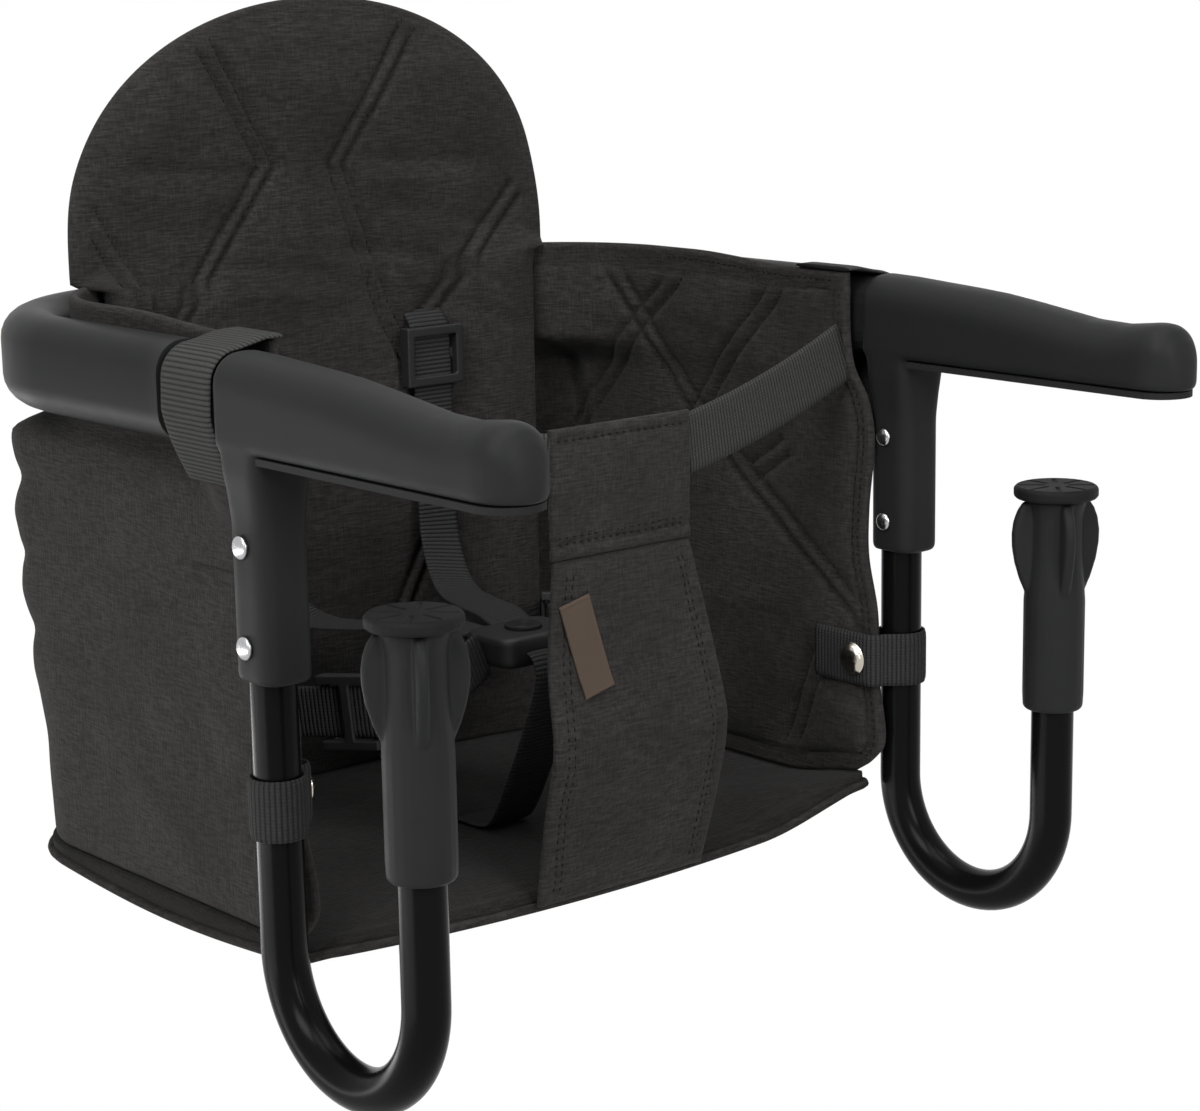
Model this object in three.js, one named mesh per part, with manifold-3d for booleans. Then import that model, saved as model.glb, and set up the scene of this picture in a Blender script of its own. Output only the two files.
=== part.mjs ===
// Hook-on table chair: a fabric seat hung in a U-shaped rail, two arms that rest on the table top,
// and two hooked legs whose screw clamps press up against the underside of the table.
// Millimetres, +Z up. The table top is the plane z = 0, the sitter faces -Y, and y = 0 is the leg axis.

import * as THREE from 'three';
import { mergeVertices } from 'three/addons/utils/BufferGeometryUtils.js';
import Module from 'manifold-3d';

const wasm = await Module();
wasm.setup();

// Frame tubes
const LEG_SPACING = 355;
const TUBE_DIAMETER = 19;
const TUBE_WALL = 1.8;
const TUBE_SIDES = 14;
const GAP = 0.3;
const RUNNING_GAP = 0.3;

// Rail round the seat
const RAIL_Z = 20.5;
const RAIL_REAR_Y = 244;
const RAIL_CORNER_RADIUS = 95;
const RAIL_ARC_STEPS = 9;
const RAIL_TUBE_END_Y = -78;
const COVER_HEIGHT = 41;
const COVER_THICKNESS = 28;
const COVER_EDGE_RADIUS = 13;
const COVER_FRONT_Y = 53;
const COLLAR_HEIGHT = 37;
const COLLAR_THICKNESS = 25;
const COLLAR_EDGE_RADIUS = 12;
const COLLAR_FRONT_Y = 12.6;
const COLLAR_LENGTH = 39.8;

// Arm and leg bracket
const ARM_WIDTH = 30;
const ARM_REAR_Y = 12;
const ARM_NOSE_Y = -150;
const ARM_NOSE_LENGTH = 16;
const ARM_TOP = [[12, 40.5], [4, 40.5], [-24, 38.9], [-61, 36.5], [-92, 32.5], [-122, 28.8], [-138, 29.4], [-150, 31]];
const ARM_PAD_THICKNESS = 3;
const ARM_PAD_INSET = 1;
const LEG_WIDTH = 24;
const LEG_DEPTH = 27;
const LEG_REAR_Y = 12;
const LEG_EDGE_RADIUS = 8;
const LEG_BOTTOM_Z = -88.7;
const RIVET_HEIGHTS = [-34, -74];
const RIVET_SHANK_RADIUS = 2.4;
const RIVET_HEAD_RADIUS = 4.75;
const RIVET_HEAD_HEIGHT = 2.2;
const SWIVEL_PIN_Y = -40;
const SWIVEL_PIN_RADIUS = 2.5;
const RIGHT_FOLD_DEGREES = 90;
const LEFT_FOLD_DEGREES = 115;

// Hooked leg
const HOOK_REACH = 94;
const HOOK_BOTTOM_Z = -254;
const HOOK_TOP_Z = -16;
const POST_TOP_Z = -100;

// Screw clamp
const PAD_TOP_Z = -46;
const PAD_DIAMETER = 37.5;
const PAD_THICKNESS = 5.7;
const PAD_STEM_RADIUS = 6;
const PAD_STEM_LENGTH = 4;
const PAD_GROOVES = 8;
const PAD_GROOVE_WIDTH = 2;
const PAD_GROOVE_DEPTH = 0.9;
const GRIP_DIAMETER = 27.6;
const GRIP_BOTTOM_Z = -148;
const GRIP_SHOULDER_Z = -97.5;
const WING_COUNT = 4;
const WING_RADIUS = 20.4;
const WING_LENGTH = 44;
const WING_THICKNESS = 5;
const WING_TURN_DEGREES = 61;
const SPINDLE_RADIUS = 4;
const SPINDLE_TOP_Z = -58;
const SPINDLE_PLUG_LENGTH = 18;
const SPINDLE_FLANGE_HEIGHT = 1.7;
const NUT_RADIUS = 8;
const NUT_LENGTH = 26;

// Fabric walls of the seat
const WALL_THICKNESS = 7;
const WALL_TOP_Z = 42;
const WALL_FLARE = 3;
const WALL_REAR_FLARE = 11;
const WALL_SEAM_Y = 147;
const WALL_CLEARANCE = 1;
const WALL_MIDDLE_CORNER = 28;
const WALL_LOWER_CORNER = 50;
const WALL_BULGE_TOP_Z = -5;
const WALL_BULGE_DEPTH = 22;
const WALL_SETTLE_TOP_Z = -60;
const BACK_COLUMNS = 30;
const WALL_FRONT = [[-205, 4], [-187, -4], [-150, 0], [-118, 1], [-91, 7], [-69, 7], [-30, 4], [5, 15.5], [42, 17]];

// Seat base
const BASE_TOP_Z = -205;
const BASE_THICKNESS = 9;
const BASE_OVERHANG = 1.5;
const BASE_FRONT_Y = 3;
const BASE_FRONT_BOW = 13;
const BASE_EDGE = 2;
const BASE_FRONT_CORNER = 12;
const BOARD_THICKNESS = 3.6;
const BOARD_MARGIN = 16;
const BOARD_MOUTH_HALF_WIDTH = 60;

// Backrest
const BACKREST_HALF_WIDTH = 135;
const BACKREST_ARCH_BASE_Z = 50;
const BACKREST_ARCH_HEIGHT = 120;
const BACKREST_ARCH_POWER = 2.5;
const BACKREST_LEAN = 10;
const BACKREST_MIDDLE_Y = 218;
const BACKREST_STEP = 4.8;
const BACKREST_WING = 9;
const BACKREST_STEP_TOP_Z = 51;
const BACKREST_STEP_HEIGHT = 8;
const BACKREST_LOWER_HALF_WIDTH = 122;
const BACKREST_EDGE_THICKNESS = 6;
const BACKREST_CROWN = 5;
const CHANNEL_DEPTH = 2.4;
const CHANNEL_HALF_WIDTH = 5;
const CHANNEL_KNEE_Z = 95;
const CHANNEL_HALF_PERIOD = 78;
const CHANNEL_INNER_X = 20;
const CHANNEL_SWING = 52;
const CHANNEL_TOUCH_GAP = 8;

// Front panel and waist belt
const BAND_HALF_WIDTH = 39;
const BAND_TOP_Z = -6;
const BAND_BOTTOM_Z = -62;
const BAND_THICKNESS = 6;
const BAND_Y = -4;
const CROTCH_THICKNESS = 5;
const CROTCH_HALF_WIDTHS = [[-213.5, 47], [-170, 50], [-140, 49], [-105, 46], [-62.3, 38]];
const CROTCH_LINE = [[-213.5, 0.2], [-172, -10], [-142, -16], [-108, -10], [-62.3, -4]];
const BELT_WIDTH = 27;
const BELT_THICKNESS = 1.8;
const BELT_WALL_Y = 21;
const BELT_WALL_Z = 2;
const BELT_BAND_Z = -21;
const BELT_END_GAP = 3.4;
const PATCH_WIDTH = 17;
const PATCH_LENGTH = 41;
const PATCH_THICKNESS = 1.2;
const PATCH_X = -27;
const PATCH_Z = -99;
const PATCH_TILT_DEGREES = 12;

// Webbing loops and snaps
const WEBBING_THICKNESS = 2;
const STRAP_WIDTH = 29;
const STRAP_GAP = 0.4;
const STRAP_TAIL = 12;
const REAR_STRAP_X = 60;
const LOOP_WIDTH = 25;
const LOOP_Z = -140;
const LOOP_TAB_Y = 36;
const SNAP_RADIUS = 7.3;
const SNAP_HEIGHT = 3.4;
const SNAP_Y = 13;

// Harness
const HARNESS_WIDTH = 25;
const HARNESS_THICKNESS = 1.6;
const SHOULDER_X = 54;
const SHOULDER_EXIT_Z = 40;
const SHOULDER_STANDOFF = 7;
const SHOULDER_EXIT_GAP = 1.3;
const SHOULDER_ADJUSTER_Z = -3;
const ADJUSTER_LENGTH = 29;
const ADJUSTER_RAIL = 4;
const ADJUSTER_BAR = 4.6;
const ADJUSTER_BAR_THICKNESS = 2.1;
const LAP_X = 128;
const LAP_Z = -150;
const BUCKLE_WIDTH = 46;
const BUCKLE_LENGTH = 34;
const BUCKLE_THICKNESS = 14;
const BUCKLE_Y = 64.5;
const BUCKLE_Z = -115;

// Sizes worked out from the ones above
const LEG_X = LEG_SPACING / 2;
const TUBE_RADIUS = TUBE_DIAMETER / 2;
const TUBE_BORE = TUBE_RADIUS - TUBE_WALL;
const SOCKET_RADIUS = TUBE_RADIUS + RUNNING_GAP;
const HOOK_BEND_RADIUS = HOOK_REACH / 2;
const HOOK_BEND_Z = HOOK_BOTTOM_Z + TUBE_RADIUS + HOOK_BEND_RADIUS;
const PAD_BOTTOM_Z = PAD_TOP_Z - PAD_THICKNESS;
const GRIP_TOP_Z = PAD_BOTTOM_Z - GAP;
const WALL_OUTER_X = LEG_X - COVER_THICKNESS / 2 - WALL_CLEARANCE;
const WALL_REAR_Y = RAIL_REAR_Y - COVER_THICKNESS / 2 - WALL_CLEARANCE;
const WALL_BOTTOM_Z = BASE_TOP_Z + GAP;
const WALL_INNER_X = WALL_OUTER_X - WALL_THICKNESS;
const BASE_BOTTOM_Z = BASE_TOP_Z - BASE_THICKNESS;
const BASE_HALF_WIDTH = WALL_OUTER_X + WALL_FLARE + BASE_OVERHANG;
const BASE_REAR_Y = WALL_REAR_Y + WALL_REAR_FLARE + BASE_OVERHANG;
const BACKREST_BOTTOM_Z = BASE_TOP_Z + GAP;
const BACKREST_TOP_Z = BACKREST_ARCH_BASE_Z + BACKREST_ARCH_HEIGHT;
const SNAP_X = WALL_INNER_X - GAP - WEBBING_THICKNESS - GAP;

const material = (color, roughness, metalness = 0) => new THREE.MeshStandardMaterial({ color, roughness, metalness });
const looks = {
  fabric: () => material(0x32302f, 0.95),
  webbing: () => material(0x2b2b2d, 0.85),
  plastic: () => material(0x37383a, 0.55),
  rubber: () => material(0x1d1d1e, 0.8),
  blackSteel: () => material(0x0b0b0c, 0.3, 0.4),
  steel: () => material(0xb9bcc0, 0.3, 1),
  brass: () => material(0xb08d57, 0.4, 1),
  leather: () => material(0x8a6248, 0.8),
  board: () => material(0x6e5a44, 0.9),
};

const chair = new THREE.Group();

function addMesh(name, geometry, look, parent = chair) {
  const mesh = new THREE.Mesh(geometry, looks[look]());
  mesh.name = name;
  parent.add(mesh);
  return mesh;
}

// Geometry helpers

// Leaves one closed skin: shared corners merged, no flat triangles, faces pointing out.
function closedSkin(geometry) {
  const bare = geometry.clone();
  bare.deleteAttribute('normal');
  bare.deleteAttribute('uv');
  const merged = mergeVertices(bare);
  const corners = merged.index.array;
  const kept = [];
  for (let i = 0; i < corners.length; i += 3) {
    const [a, b, c] = [corners[i], corners[i + 1], corners[i + 2]];
    if (a !== b && b !== c && c !== a) kept.push(a, b, c);
  }
  merged.setIndex(kept);
  if (signedVolume(merged) < 0) {
    for (let i = 0; i < kept.length; i += 3) [kept[i], kept[i + 1]] = [kept[i + 1], kept[i]];
    merged.setIndex(kept);
  }
  return merged;
}

function signedVolume(geometry) {
  const points = geometry.attributes.position;
  const corners = geometry.index.array;
  const [a, b, c] = [new THREE.Vector3(), new THREE.Vector3(), new THREE.Vector3()];
  let volume = 0;
  for (let i = 0; i < corners.length; i += 3) {
    a.fromBufferAttribute(points, corners[i]);
    b.fromBufferAttribute(points, corners[i + 1]);
    c.fromBufferAttribute(points, corners[i + 2]);
    volume += a.dot(b.cross(c)) / 6;
  }
  return volume;
}

function solidFrom(geometry) {
  const skin = closedSkin(geometry);
  const vertProperties = new Float32Array(skin.attributes.position.array);
  const triVerts = new Uint32Array(skin.index.array);
  return new wasm.Manifold(new wasm.Mesh({ numProp: 3, vertProperties, triVerts }));
}

function geometryFrom(solid) {
  const mesh = solid.getMesh();
  const geometry = new THREE.BufferGeometry();
  geometry.setAttribute('position', new THREE.BufferAttribute(new Float32Array(mesh.vertProperties), 3));
  geometry.setIndex(Array.from(mesh.triVerts));
  return geometry;
}

function shaped(added, removed = []) {
  let solid = solidFrom(added[0]);
  for (const geometry of added.slice(1)) solid = solid.add(solidFrom(geometry));
  for (const geometry of removed) solid = solid.subtract(solidFrom(geometry));
  return geometryFrom(solid);
}

// Mirrors geometry drawn for the left side (+X outward) onto either side.
function onSide(geometry, side) {
  return closedSkin(geometry.clone().scale(side, 1, 1));
}

// Smooth curve through [position, value] pairs in rising or falling order of position.
function valueAt(table, position) {
  const rising = table[0][0] < table[table.length - 1][0];
  const rows = rising ? table : [...table].reverse();
  const last = rows.length - 1;
  const t = THREE.MathUtils.clamp(position, rows[0][0], rows[last][0]);
  let i = 0;
  while (i < last - 1 && t > rows[i + 1][0]) i += 1;
  const slope = (k) => {
    const [before, after] = [rows[Math.max(k - 1, 0)], rows[Math.min(k + 1, last)]];
    return (after[1] - before[1]) / (after[0] - before[0]);
  };
  const span = rows[i + 1][0] - rows[i][0];
  const f = (t - rows[i][0]) / span;
  const hermite = [2 * f ** 3 - 3 * f ** 2 + 1, f ** 3 - 2 * f ** 2 + f, 3 * f ** 2 - 2 * f ** 3, f ** 3 - f ** 2];
  return hermite[0] * rows[i][1] + hermite[1] * span * slope(i) + hermite[2] * rows[i + 1][1]
    + hermite[3] * span * slope(i + 1);
}

function evenly(from, to, steps) {
  return Array.from({ length: steps + 1 }, (_, i) => from + (to - from) * i / steps);
}

function cylinderBetween(start, end, radius, sides = 16) {
  const axis = end.clone().sub(start);
  const geometry = new THREE.CylinderGeometry(radius, radius, axis.length(), sides);
  geometry.applyQuaternion(new THREE.Quaternion().setFromUnitVectors(new THREE.Vector3(0, 1, 0), axis.normalize()));
  const middle = start.clone().add(end).multiplyScalar(0.5);
  return geometry.translate(middle.x, middle.y, middle.z);
}

function uprightCylinder(x, y, bottom, top, radius, sides = 16) {
  return cylinderBetween(new THREE.Vector3(x, y, bottom), new THREE.Vector3(x, y, top), radius, sides);
}

// Revolves [radius, height] pairs about the Z axis.
function revolved(profile, sides = 24) {
  const points = profile.map(([radius, height]) => new THREE.Vector2(radius, height));
  return new THREE.LatheGeometry(points, sides).rotateX(Math.PI / 2);
}

function roundedRectangle(width, height, radius) {
  const [x, y] = [width / 2 - radius, height / 2 - radius];
  const shape = new THREE.Shape();
  shape.absarc(x, -y, radius, -Math.PI / 2, 0);
  shape.absarc(x, y, radius, 0, Math.PI / 2);
  shape.absarc(-x, y, radius, Math.PI / 2, Math.PI);
  shape.absarc(-x, -y, radius, Math.PI, 1.5 * Math.PI);
  shape.closePath();
  return shape;
}

function circlePoints(radius, sides) {
  return evenly(0, 2 * Math.PI, sides).slice(0, -1)
    .map((angle) => new THREE.Vector2(radius * Math.cos(angle), radius * Math.sin(angle)));
}

// Round hole whose flats, not its corners, lie at the radius.
function roundHole(radius) {
  return new THREE.Path(circlePoints(radius / Math.cos(Math.PI / TUBE_SIDES), TUBE_SIDES));
}

// A path of straight runs and arcs, with a station at each end of a run and several along an arc.
class Route extends THREE.Curve {
  constructor(stations) {
    super();
    this.stations = stations;
  }

  between(u, pick) {
    const place = THREE.MathUtils.clamp(u, 0, 1) * (this.stations.length - 1);
    const low = Math.min(Math.floor(place), this.stations.length - 2);
    return this.stations[low][pick].clone().lerp(this.stations[low + 1][pick], place - low);
  }

  getPoint(u) {
    return this.between(u, 'point');
  }

  getPointAt(u) {
    return this.between(u, 'point');
  }

  getTangentAt(u, target = new THREE.Vector3()) {
    return target.copy(this.between(u, 'heading')).normalize();
  }
}

function station(point, heading) {
  return { point, heading };
}

function sweptTube(route, shape, curveSegments) {
  const options = { steps: route.stations.length - 1, extrudePath: route, curveSegments };
  return closedSkin(new THREE.ExtrudeGeometry(shape, options));
}

// Joins rings of equal length into one closed skin with flat ends.
function skinned(rings) {
  const size = rings[0].length;
  const positions = rings.flat().flatMap((p) => [p.x, p.y, p.z]);
  const index = [];
  for (let r = 0; r < rings.length - 1; r += 1) {
    for (let k = 0; k < size; k += 1) {
      const [a, b] = [r * size + k, r * size + (k + 1) % size];
      index.push(a, b, b + size, a, b + size, a + size);
    }
  }
  const top = (rings.length - 1) * size;
  for (let k = 1; k < size - 1; k += 1) index.push(0, k + 1, k, top, top + k, top + k + 1);
  const geometry = new THREE.BufferGeometry();
  geometry.setAttribute('position', new THREE.Float32BufferAttribute(positions, 3));
  geometry.setIndex(index);
  return closedSkin(geometry);
}

// Closed panel between a front and a back skin, each a function of u and v.
function panel(us, vs, front, back) {
  const positions = [];
  for (const skin of [front, back]) {
    for (const v of vs) for (const u of us) positions.push(...skin(u, v).toArray());
  }
  const wide = us.length;
  const back0 = wide * vs.length;
  const index = [];
  const quad = (a, b, c, d) => index.push(a, b, c, a, c, d);
  for (let j = 0; j < vs.length - 1; j += 1) {
    for (let i = 0; i < wide - 1; i += 1) {
      const a = j * wide + i;
      quad(a, a + 1, a + 1 + wide, a + wide);
      quad(back0 + a, back0 + a + wide, back0 + a + 1 + wide, back0 + a + 1);
    }
  }
  const rim = [];
  for (let i = 0; i < wide - 1; i += 1) rim.push(i);
  for (let j = 0; j < vs.length - 1; j += 1) rim.push(j * wide + wide - 1);
  for (let i = wide - 1; i > 0; i -= 1) rim.push((vs.length - 1) * wide + i);
  for (let j = vs.length - 1; j > 0; j -= 1) rim.push(j * wide);
  rim.forEach((p, k) => {
    const q = rim[(k + 1) % rim.length];
    quad(q, p, back0 + p, back0 + q);
  });
  const geometry = new THREE.BufferGeometry();
  geometry.setAttribute('position', new THREE.Float32BufferAttribute(positions, 3));
  geometry.setIndex(index);
  return closedSkin(geometry);
}

// Flat webbing bent along a line in its own plane, drawn as its edge outline and extruded across.
function ribbon(line, thickness, width) {
  const sideways = line.map((point, i) => {
    const along = line[Math.min(i + 1, line.length - 1)].clone().sub(line[Math.max(i - 1, 0)]).normalize();
    return new THREE.Vector2(-along.y, along.x).multiplyScalar(thickness / 2);
  });
  const near = line.map((point, i) => point.clone().add(sideways[i]));
  const far = line.map((point, i) => point.clone().sub(sideways[i])).reverse();
  const outline = new THREE.Shape([...near, ...far]);
  return new THREE.ExtrudeGeometry(outline, { depth: width, bevelEnabled: false });
}

// Flat webbing along points in space; across is the direction of its width.
function strapAlong(points, across, width, thickness) {
  const rings = points.map((point, i) => {
    const along = points[Math.min(i + 1, points.length - 1)].clone().sub(points[Math.max(i - 1, 0)]).normalize();
    const wide = across[i].clone().addScaledVector(along, -across[i].dot(along)).normalize();
    const thick = along.clone().cross(wide).multiplyScalar(thickness / 2);
    const half = wide.multiplyScalar(width / 2);
    return [[-1, -1], [1, -1], [1, 1], [-1, 1]].map(([w, t]) => point.clone()
      .addScaledVector(half, w).addScaledVector(thick, t));
  });
  return skinned(rings);
}

// Rail: one U of tube from arm to arm, with a moulded cover round the seat

function railRoute(frontY, arcSteps) {
  const [x, y] = [LEG_X - RAIL_CORNER_RADIUS, RAIL_REAR_Y - RAIL_CORNER_RADIUS];
  const stations = [station(new THREE.Vector3(-LEG_X, frontY, RAIL_Z), new THREE.Vector3(0, 1, 0))];
  for (const [centre, from] of [[-x, Math.PI], [x, Math.PI / 2]]) {
    for (const angle of evenly(from, from - Math.PI / 2, arcSteps)) {
      const point = new THREE.Vector3(centre + RAIL_CORNER_RADIUS * Math.cos(angle),
        y + RAIL_CORNER_RADIUS * Math.sin(angle), RAIL_Z);
      stations.push(station(point, new THREE.Vector3(Math.sin(angle), -Math.cos(angle), 0)));
    }
  }
  stations.push(station(new THREE.Vector3(LEG_X, frontY, RAIL_Z), new THREE.Vector3(0, -1, 0)));
  return new Route(stations);
}

function ringShape(outer, boreRadius) {
  outer.holes.push(roundHole(boreRadius));
  return outer;
}

function circle(radius) {
  return new THREE.Shape(circlePoints(radius, TUBE_SIDES));
}

// Slot in the rail tube that lets the swivel pin travel from the bottom of the tube to the folded stop.
function swivelSlot(side, degrees) {
  const margin = Math.asin((SWIVEL_PIN_RADIUS + RUNNING_GAP) / TUBE_BORE) + RUNNING_GAP / TUBE_BORE;
  const [from, to] = [-Math.PI / 2 - margin, -Math.PI / 2 + THREE.MathUtils.degToRad(degrees) + margin];
  const sector = new THREE.Shape();
  sector.absarc(0, 0, TUBE_RADIUS + TUBE_WALL, from, to, false);
  sector.absarc(0, 0, TUBE_BORE - TUBE_WALL, to, from, true);
  const depth = 2 * (SWIVEL_PIN_RADIUS + RUNNING_GAP);
  const cutter = new THREE.ExtrudeGeometry(sector, { depth, bevelEnabled: false, curveSegments: 8 });
  cutter.rotateX(Math.PI / 2).translate(0, SWIVEL_PIN_Y + depth / 2, RAIL_Z);
  return closedSkin(cutter.scale(-side, 1, 1).translate(side * LEG_X, 0, 0));
}

function addRail() {
  const tube = sweptTube(railRoute(RAIL_TUBE_END_Y, RAIL_ARC_STEPS), ringShape(circle(TUBE_RADIUS), TUBE_BORE), 1);
  const slots = [swivelSlot(-1, RIGHT_FOLD_DEGREES), swivelSlot(1, LEFT_FOLD_DEGREES)];
  addMesh('rail_tube', shaped([tube], slots), 'blackSteel');
  const section = roundedRectangle(COVER_HEIGHT, COVER_THICKNESS, COVER_EDGE_RADIUS);
  const cover = sweptTube(railRoute(COVER_FRONT_Y, RAIL_ARC_STEPS), ringShape(section, SOCKET_RADIUS), 2);
  addMesh('rail_cover', cover, 'plastic');
}

function railCollar() {
  const section = roundedRectangle(COLLAR_THICKNESS, COLLAR_HEIGHT, COLLAR_EDGE_RADIUS);
  const options = { depth: COLLAR_LENGTH, bevelEnabled: false, curveSegments: 2 };
  const geometry = new THREE.ExtrudeGeometry(ringShape(section, SOCKET_RADIUS), options);
  return geometry.rotateX(-Math.PI / 2).translate(0, COLLAR_FRONT_Y, RAIL_Z);
}

// Arm with its leg bracket, drawn about the leg axis

// One cross-section of the arm: tight lower edges, rounded top.
function armSection(y) {
  const nose = THREE.MathUtils.clamp((ARM_NOSE_Y - y) / ARM_NOSE_LENGTH, 0, 1);
  const half = ARM_WIDTH / 2 * Math.sqrt(1 - nose ** 2);
  const height = (valueAt(ARM_TOP, y) - ARM_PAD_THICKNESS) * Math.sqrt(1 - nose ** 4);
  const upper = Math.min(half, height / 2, ARM_WIDTH * 0.43);
  const lower = Math.min(half, height / 2, 2.5);
  const [low, high] = [ARM_PAD_THICKNESS, ARM_PAD_THICKNESS + height];
  const corners = [[half - lower, low + lower, lower, -90, 2], [half - upper, high - upper, upper, 0, 5],
    [upper - half, high - upper, upper, 90, 5], [lower - half, low + lower, lower, 180, 2]];
  return corners.flatMap(([x, z, radius, from, steps]) => evenly(from, from + 90, steps).map((degrees) => {
    const angle = THREE.MathUtils.degToRad(degrees);
    return new THREE.Vector3(x + radius * Math.cos(angle), y, z + radius * Math.sin(angle));
  }));
}

function armShell() {
  const noseSteps = [0.35, 0.6, 0.8, 0.92, 0.985].map((share) => ARM_NOSE_Y - share * ARM_NOSE_LENGTH);
  const lengths = [...evenly(ARM_REAR_Y, ARM_NOSE_Y, 9), ...noseSteps];
  const arm = skinned(lengths.map(armSection));
  const legTop = ARM_PAD_THICKNESS + 2;
  const bevel = { bevelSize: 1.5, bevelThickness: 1.5, bevelOffset: -1.5, bevelSegments: 1 };
  const leg = new THREE.ExtrudeGeometry(roundedRectangle(LEG_WIDTH, LEG_DEPTH, LEG_EDGE_RADIUS),
    { depth: legTop - LEG_BOTTOM_Z, curveSegments: 2, ...bevel });
  leg.translate(0, LEG_REAR_Y - LEG_DEPTH / 2, LEG_BOTTOM_Z + bevel.bevelThickness);
  const bore = cylinderBetween(new THREE.Vector3(0, ARM_REAR_Y + 1, RAIL_Z),
    new THREE.Vector3(0, RAIL_TUBE_END_Y - 2, RAIL_Z), SOCKET_RADIUS, 20);
  const socket = uprightCylinder(0, 0, LEG_BOTTOM_Z - 1, HOOK_TOP_Z + 1, SOCKET_RADIUS, 20);
  const pinHole = uprightCylinder(0, SWIVEL_PIN_Y, ARM_PAD_THICKNESS - 1, RAIL_Z - TUBE_BORE,
    SWIVEL_PIN_RADIUS + GAP, 12);
  return shaped([arm, leg], [bore, socket, pinHole, ...rivetHoles(LEG_WIDTH)]);
}

function rivetHoles(width) {
  return RIVET_HEIGHTS.map((z) => cylinderBetween(new THREE.Vector3(-width, 0, z), new THREE.Vector3(width, 0, z),
    RIVET_SHANK_RADIUS + GAP, 10));
}

function armPad() {
  const half = ARM_WIDTH / 2 - ARM_PAD_INSET;
  const front = LEG_REAR_Y - LEG_DEPTH - GAP;
  const outline = new THREE.Shape();
  outline.moveTo(half, front);
  outline.lineTo(-half, front);
  outline.lineTo(-half, ARM_NOSE_Y);
  outline.absarc(0, ARM_NOSE_Y, half, Math.PI, 2 * Math.PI);
  outline.closePath();
  return new THREE.ExtrudeGeometry(outline, { depth: ARM_PAD_THICKNESS - GAP, bevelEnabled: false, curveSegments: 8 });
}

// Rivet across the leg: a domed head outside, a rolled end inside.
function rivet(z) {
  const face = LEG_WIDTH / 2 + GAP;
  const domed = evenly(0, 90, 3).map((degrees) => {
    const angle = THREE.MathUtils.degToRad(degrees);
    return [RIVET_HEAD_RADIUS * Math.cos(angle), face + RIVET_HEAD_HEIGHT * Math.sin(angle)];
  });
  const rolled = RIVET_HEAD_RADIUS * 0.75;
  const profile = [[0, -face - RIVET_HEAD_HEIGHT * 0.6], [rolled, -face - RIVET_HEAD_HEIGHT * 0.6], [rolled, -face],
    [RIVET_SHANK_RADIUS, -face], [RIVET_SHANK_RADIUS, face], ...domed.slice(0, -1), [0, face + RIVET_HEAD_HEIGHT]];
  return revolved(profile, 12).rotateY(Math.PI / 2).translate(0, 0, z);
}

function swivelPin() {
  return uprightCylinder(0, SWIVEL_PIN_Y, ARM_PAD_THICKNESS + GAP, RAIL_Z - TUBE_BORE + 0.4, SWIVEL_PIN_RADIUS, 12);
}

function hookTube() {
  const down = new THREE.Vector3(0, 0, -1);
  const stations = [station(new THREE.Vector3(0, 0, HOOK_TOP_Z), down)];
  for (const angle of evenly(0, -Math.PI, 10)) {
    const point = new THREE.Vector3(0, HOOK_BEND_RADIUS * (Math.cos(angle) - 1),
      HOOK_BEND_Z + HOOK_BEND_RADIUS * Math.sin(angle));
    stations.push(station(point, new THREE.Vector3(0, Math.sin(angle), -Math.cos(angle))));
  }
  stations.push(station(new THREE.Vector3(0, -HOOK_REACH, POST_TOP_Z), new THREE.Vector3(0, 0, 1)));
  const tube = sweptTube(new Route(stations), ringShape(circle(TUBE_RADIUS), TUBE_BORE), 1);
  return shaped([tube], rivetHoles(TUBE_DIAMETER));
}

// Screw clamp, drawn about the post's axis

function clampSpindle() {
  const plug = TUBE_BORE - GAP;
  const flange = POST_TOP_Z + GAP;
  const profile = [[0, POST_TOP_Z - SPINDLE_PLUG_LENGTH], [plug, POST_TOP_Z - SPINDLE_PLUG_LENGTH], [plug, flange],
    [TUBE_RADIUS, flange], [TUBE_RADIUS, flange + SPINDLE_FLANGE_HEIGHT],
    [SPINDLE_RADIUS, flange + SPINDLE_FLANGE_HEIGHT], [SPINDLE_RADIUS, SPINDLE_TOP_Z - 1],
    [SPINDLE_RADIUS - 1, SPINDLE_TOP_Z], [0, SPINDLE_TOP_Z]];
  return revolved(profile, 14);
}

function clampNut() {
  const hole = SPINDLE_RADIUS + RUNNING_GAP;
  const bottom = GRIP_SHOULDER_Z;
  const profile = [[hole, bottom], [NUT_RADIUS, bottom], [NUT_RADIUS, bottom + NUT_LENGTH], [hole, bottom + NUT_LENGTH],
    [hole, bottom]];
  return revolved(profile, 14);
}

function gripWing(turn) {
  const low = GRIP_TOP_Z - WING_LENGTH;
  const outline = new THREE.Shape();
  outline.moveTo(GRIP_DIAMETER * 0.3, GRIP_TOP_Z - 1);
  outline.lineTo(GRIP_DIAMETER * 0.55, GRIP_TOP_Z - 1);
  outline.bezierCurveTo(WING_RADIUS + 1.5, GRIP_TOP_Z - 8, WING_RADIUS + 2.5, GRIP_TOP_Z - 24, GRIP_DIAMETER * 0.47, low);
  outline.lineTo(GRIP_DIAMETER * 0.3, low);
  outline.closePath();
  const bevel = { bevelSize: 1.2, bevelThickness: 1.2, bevelOffset: -1.2, bevelSegments: 1 };
  const depth = WING_THICKNESS - 2 * bevel.bevelThickness;
  const wing = new THREE.ExtrudeGeometry(outline, { depth, curveSegments: 7, ...bevel });
  return wing.translate(0, 0, -depth / 2).rotateX(Math.PI / 2).rotateZ(turn);
}

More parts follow.
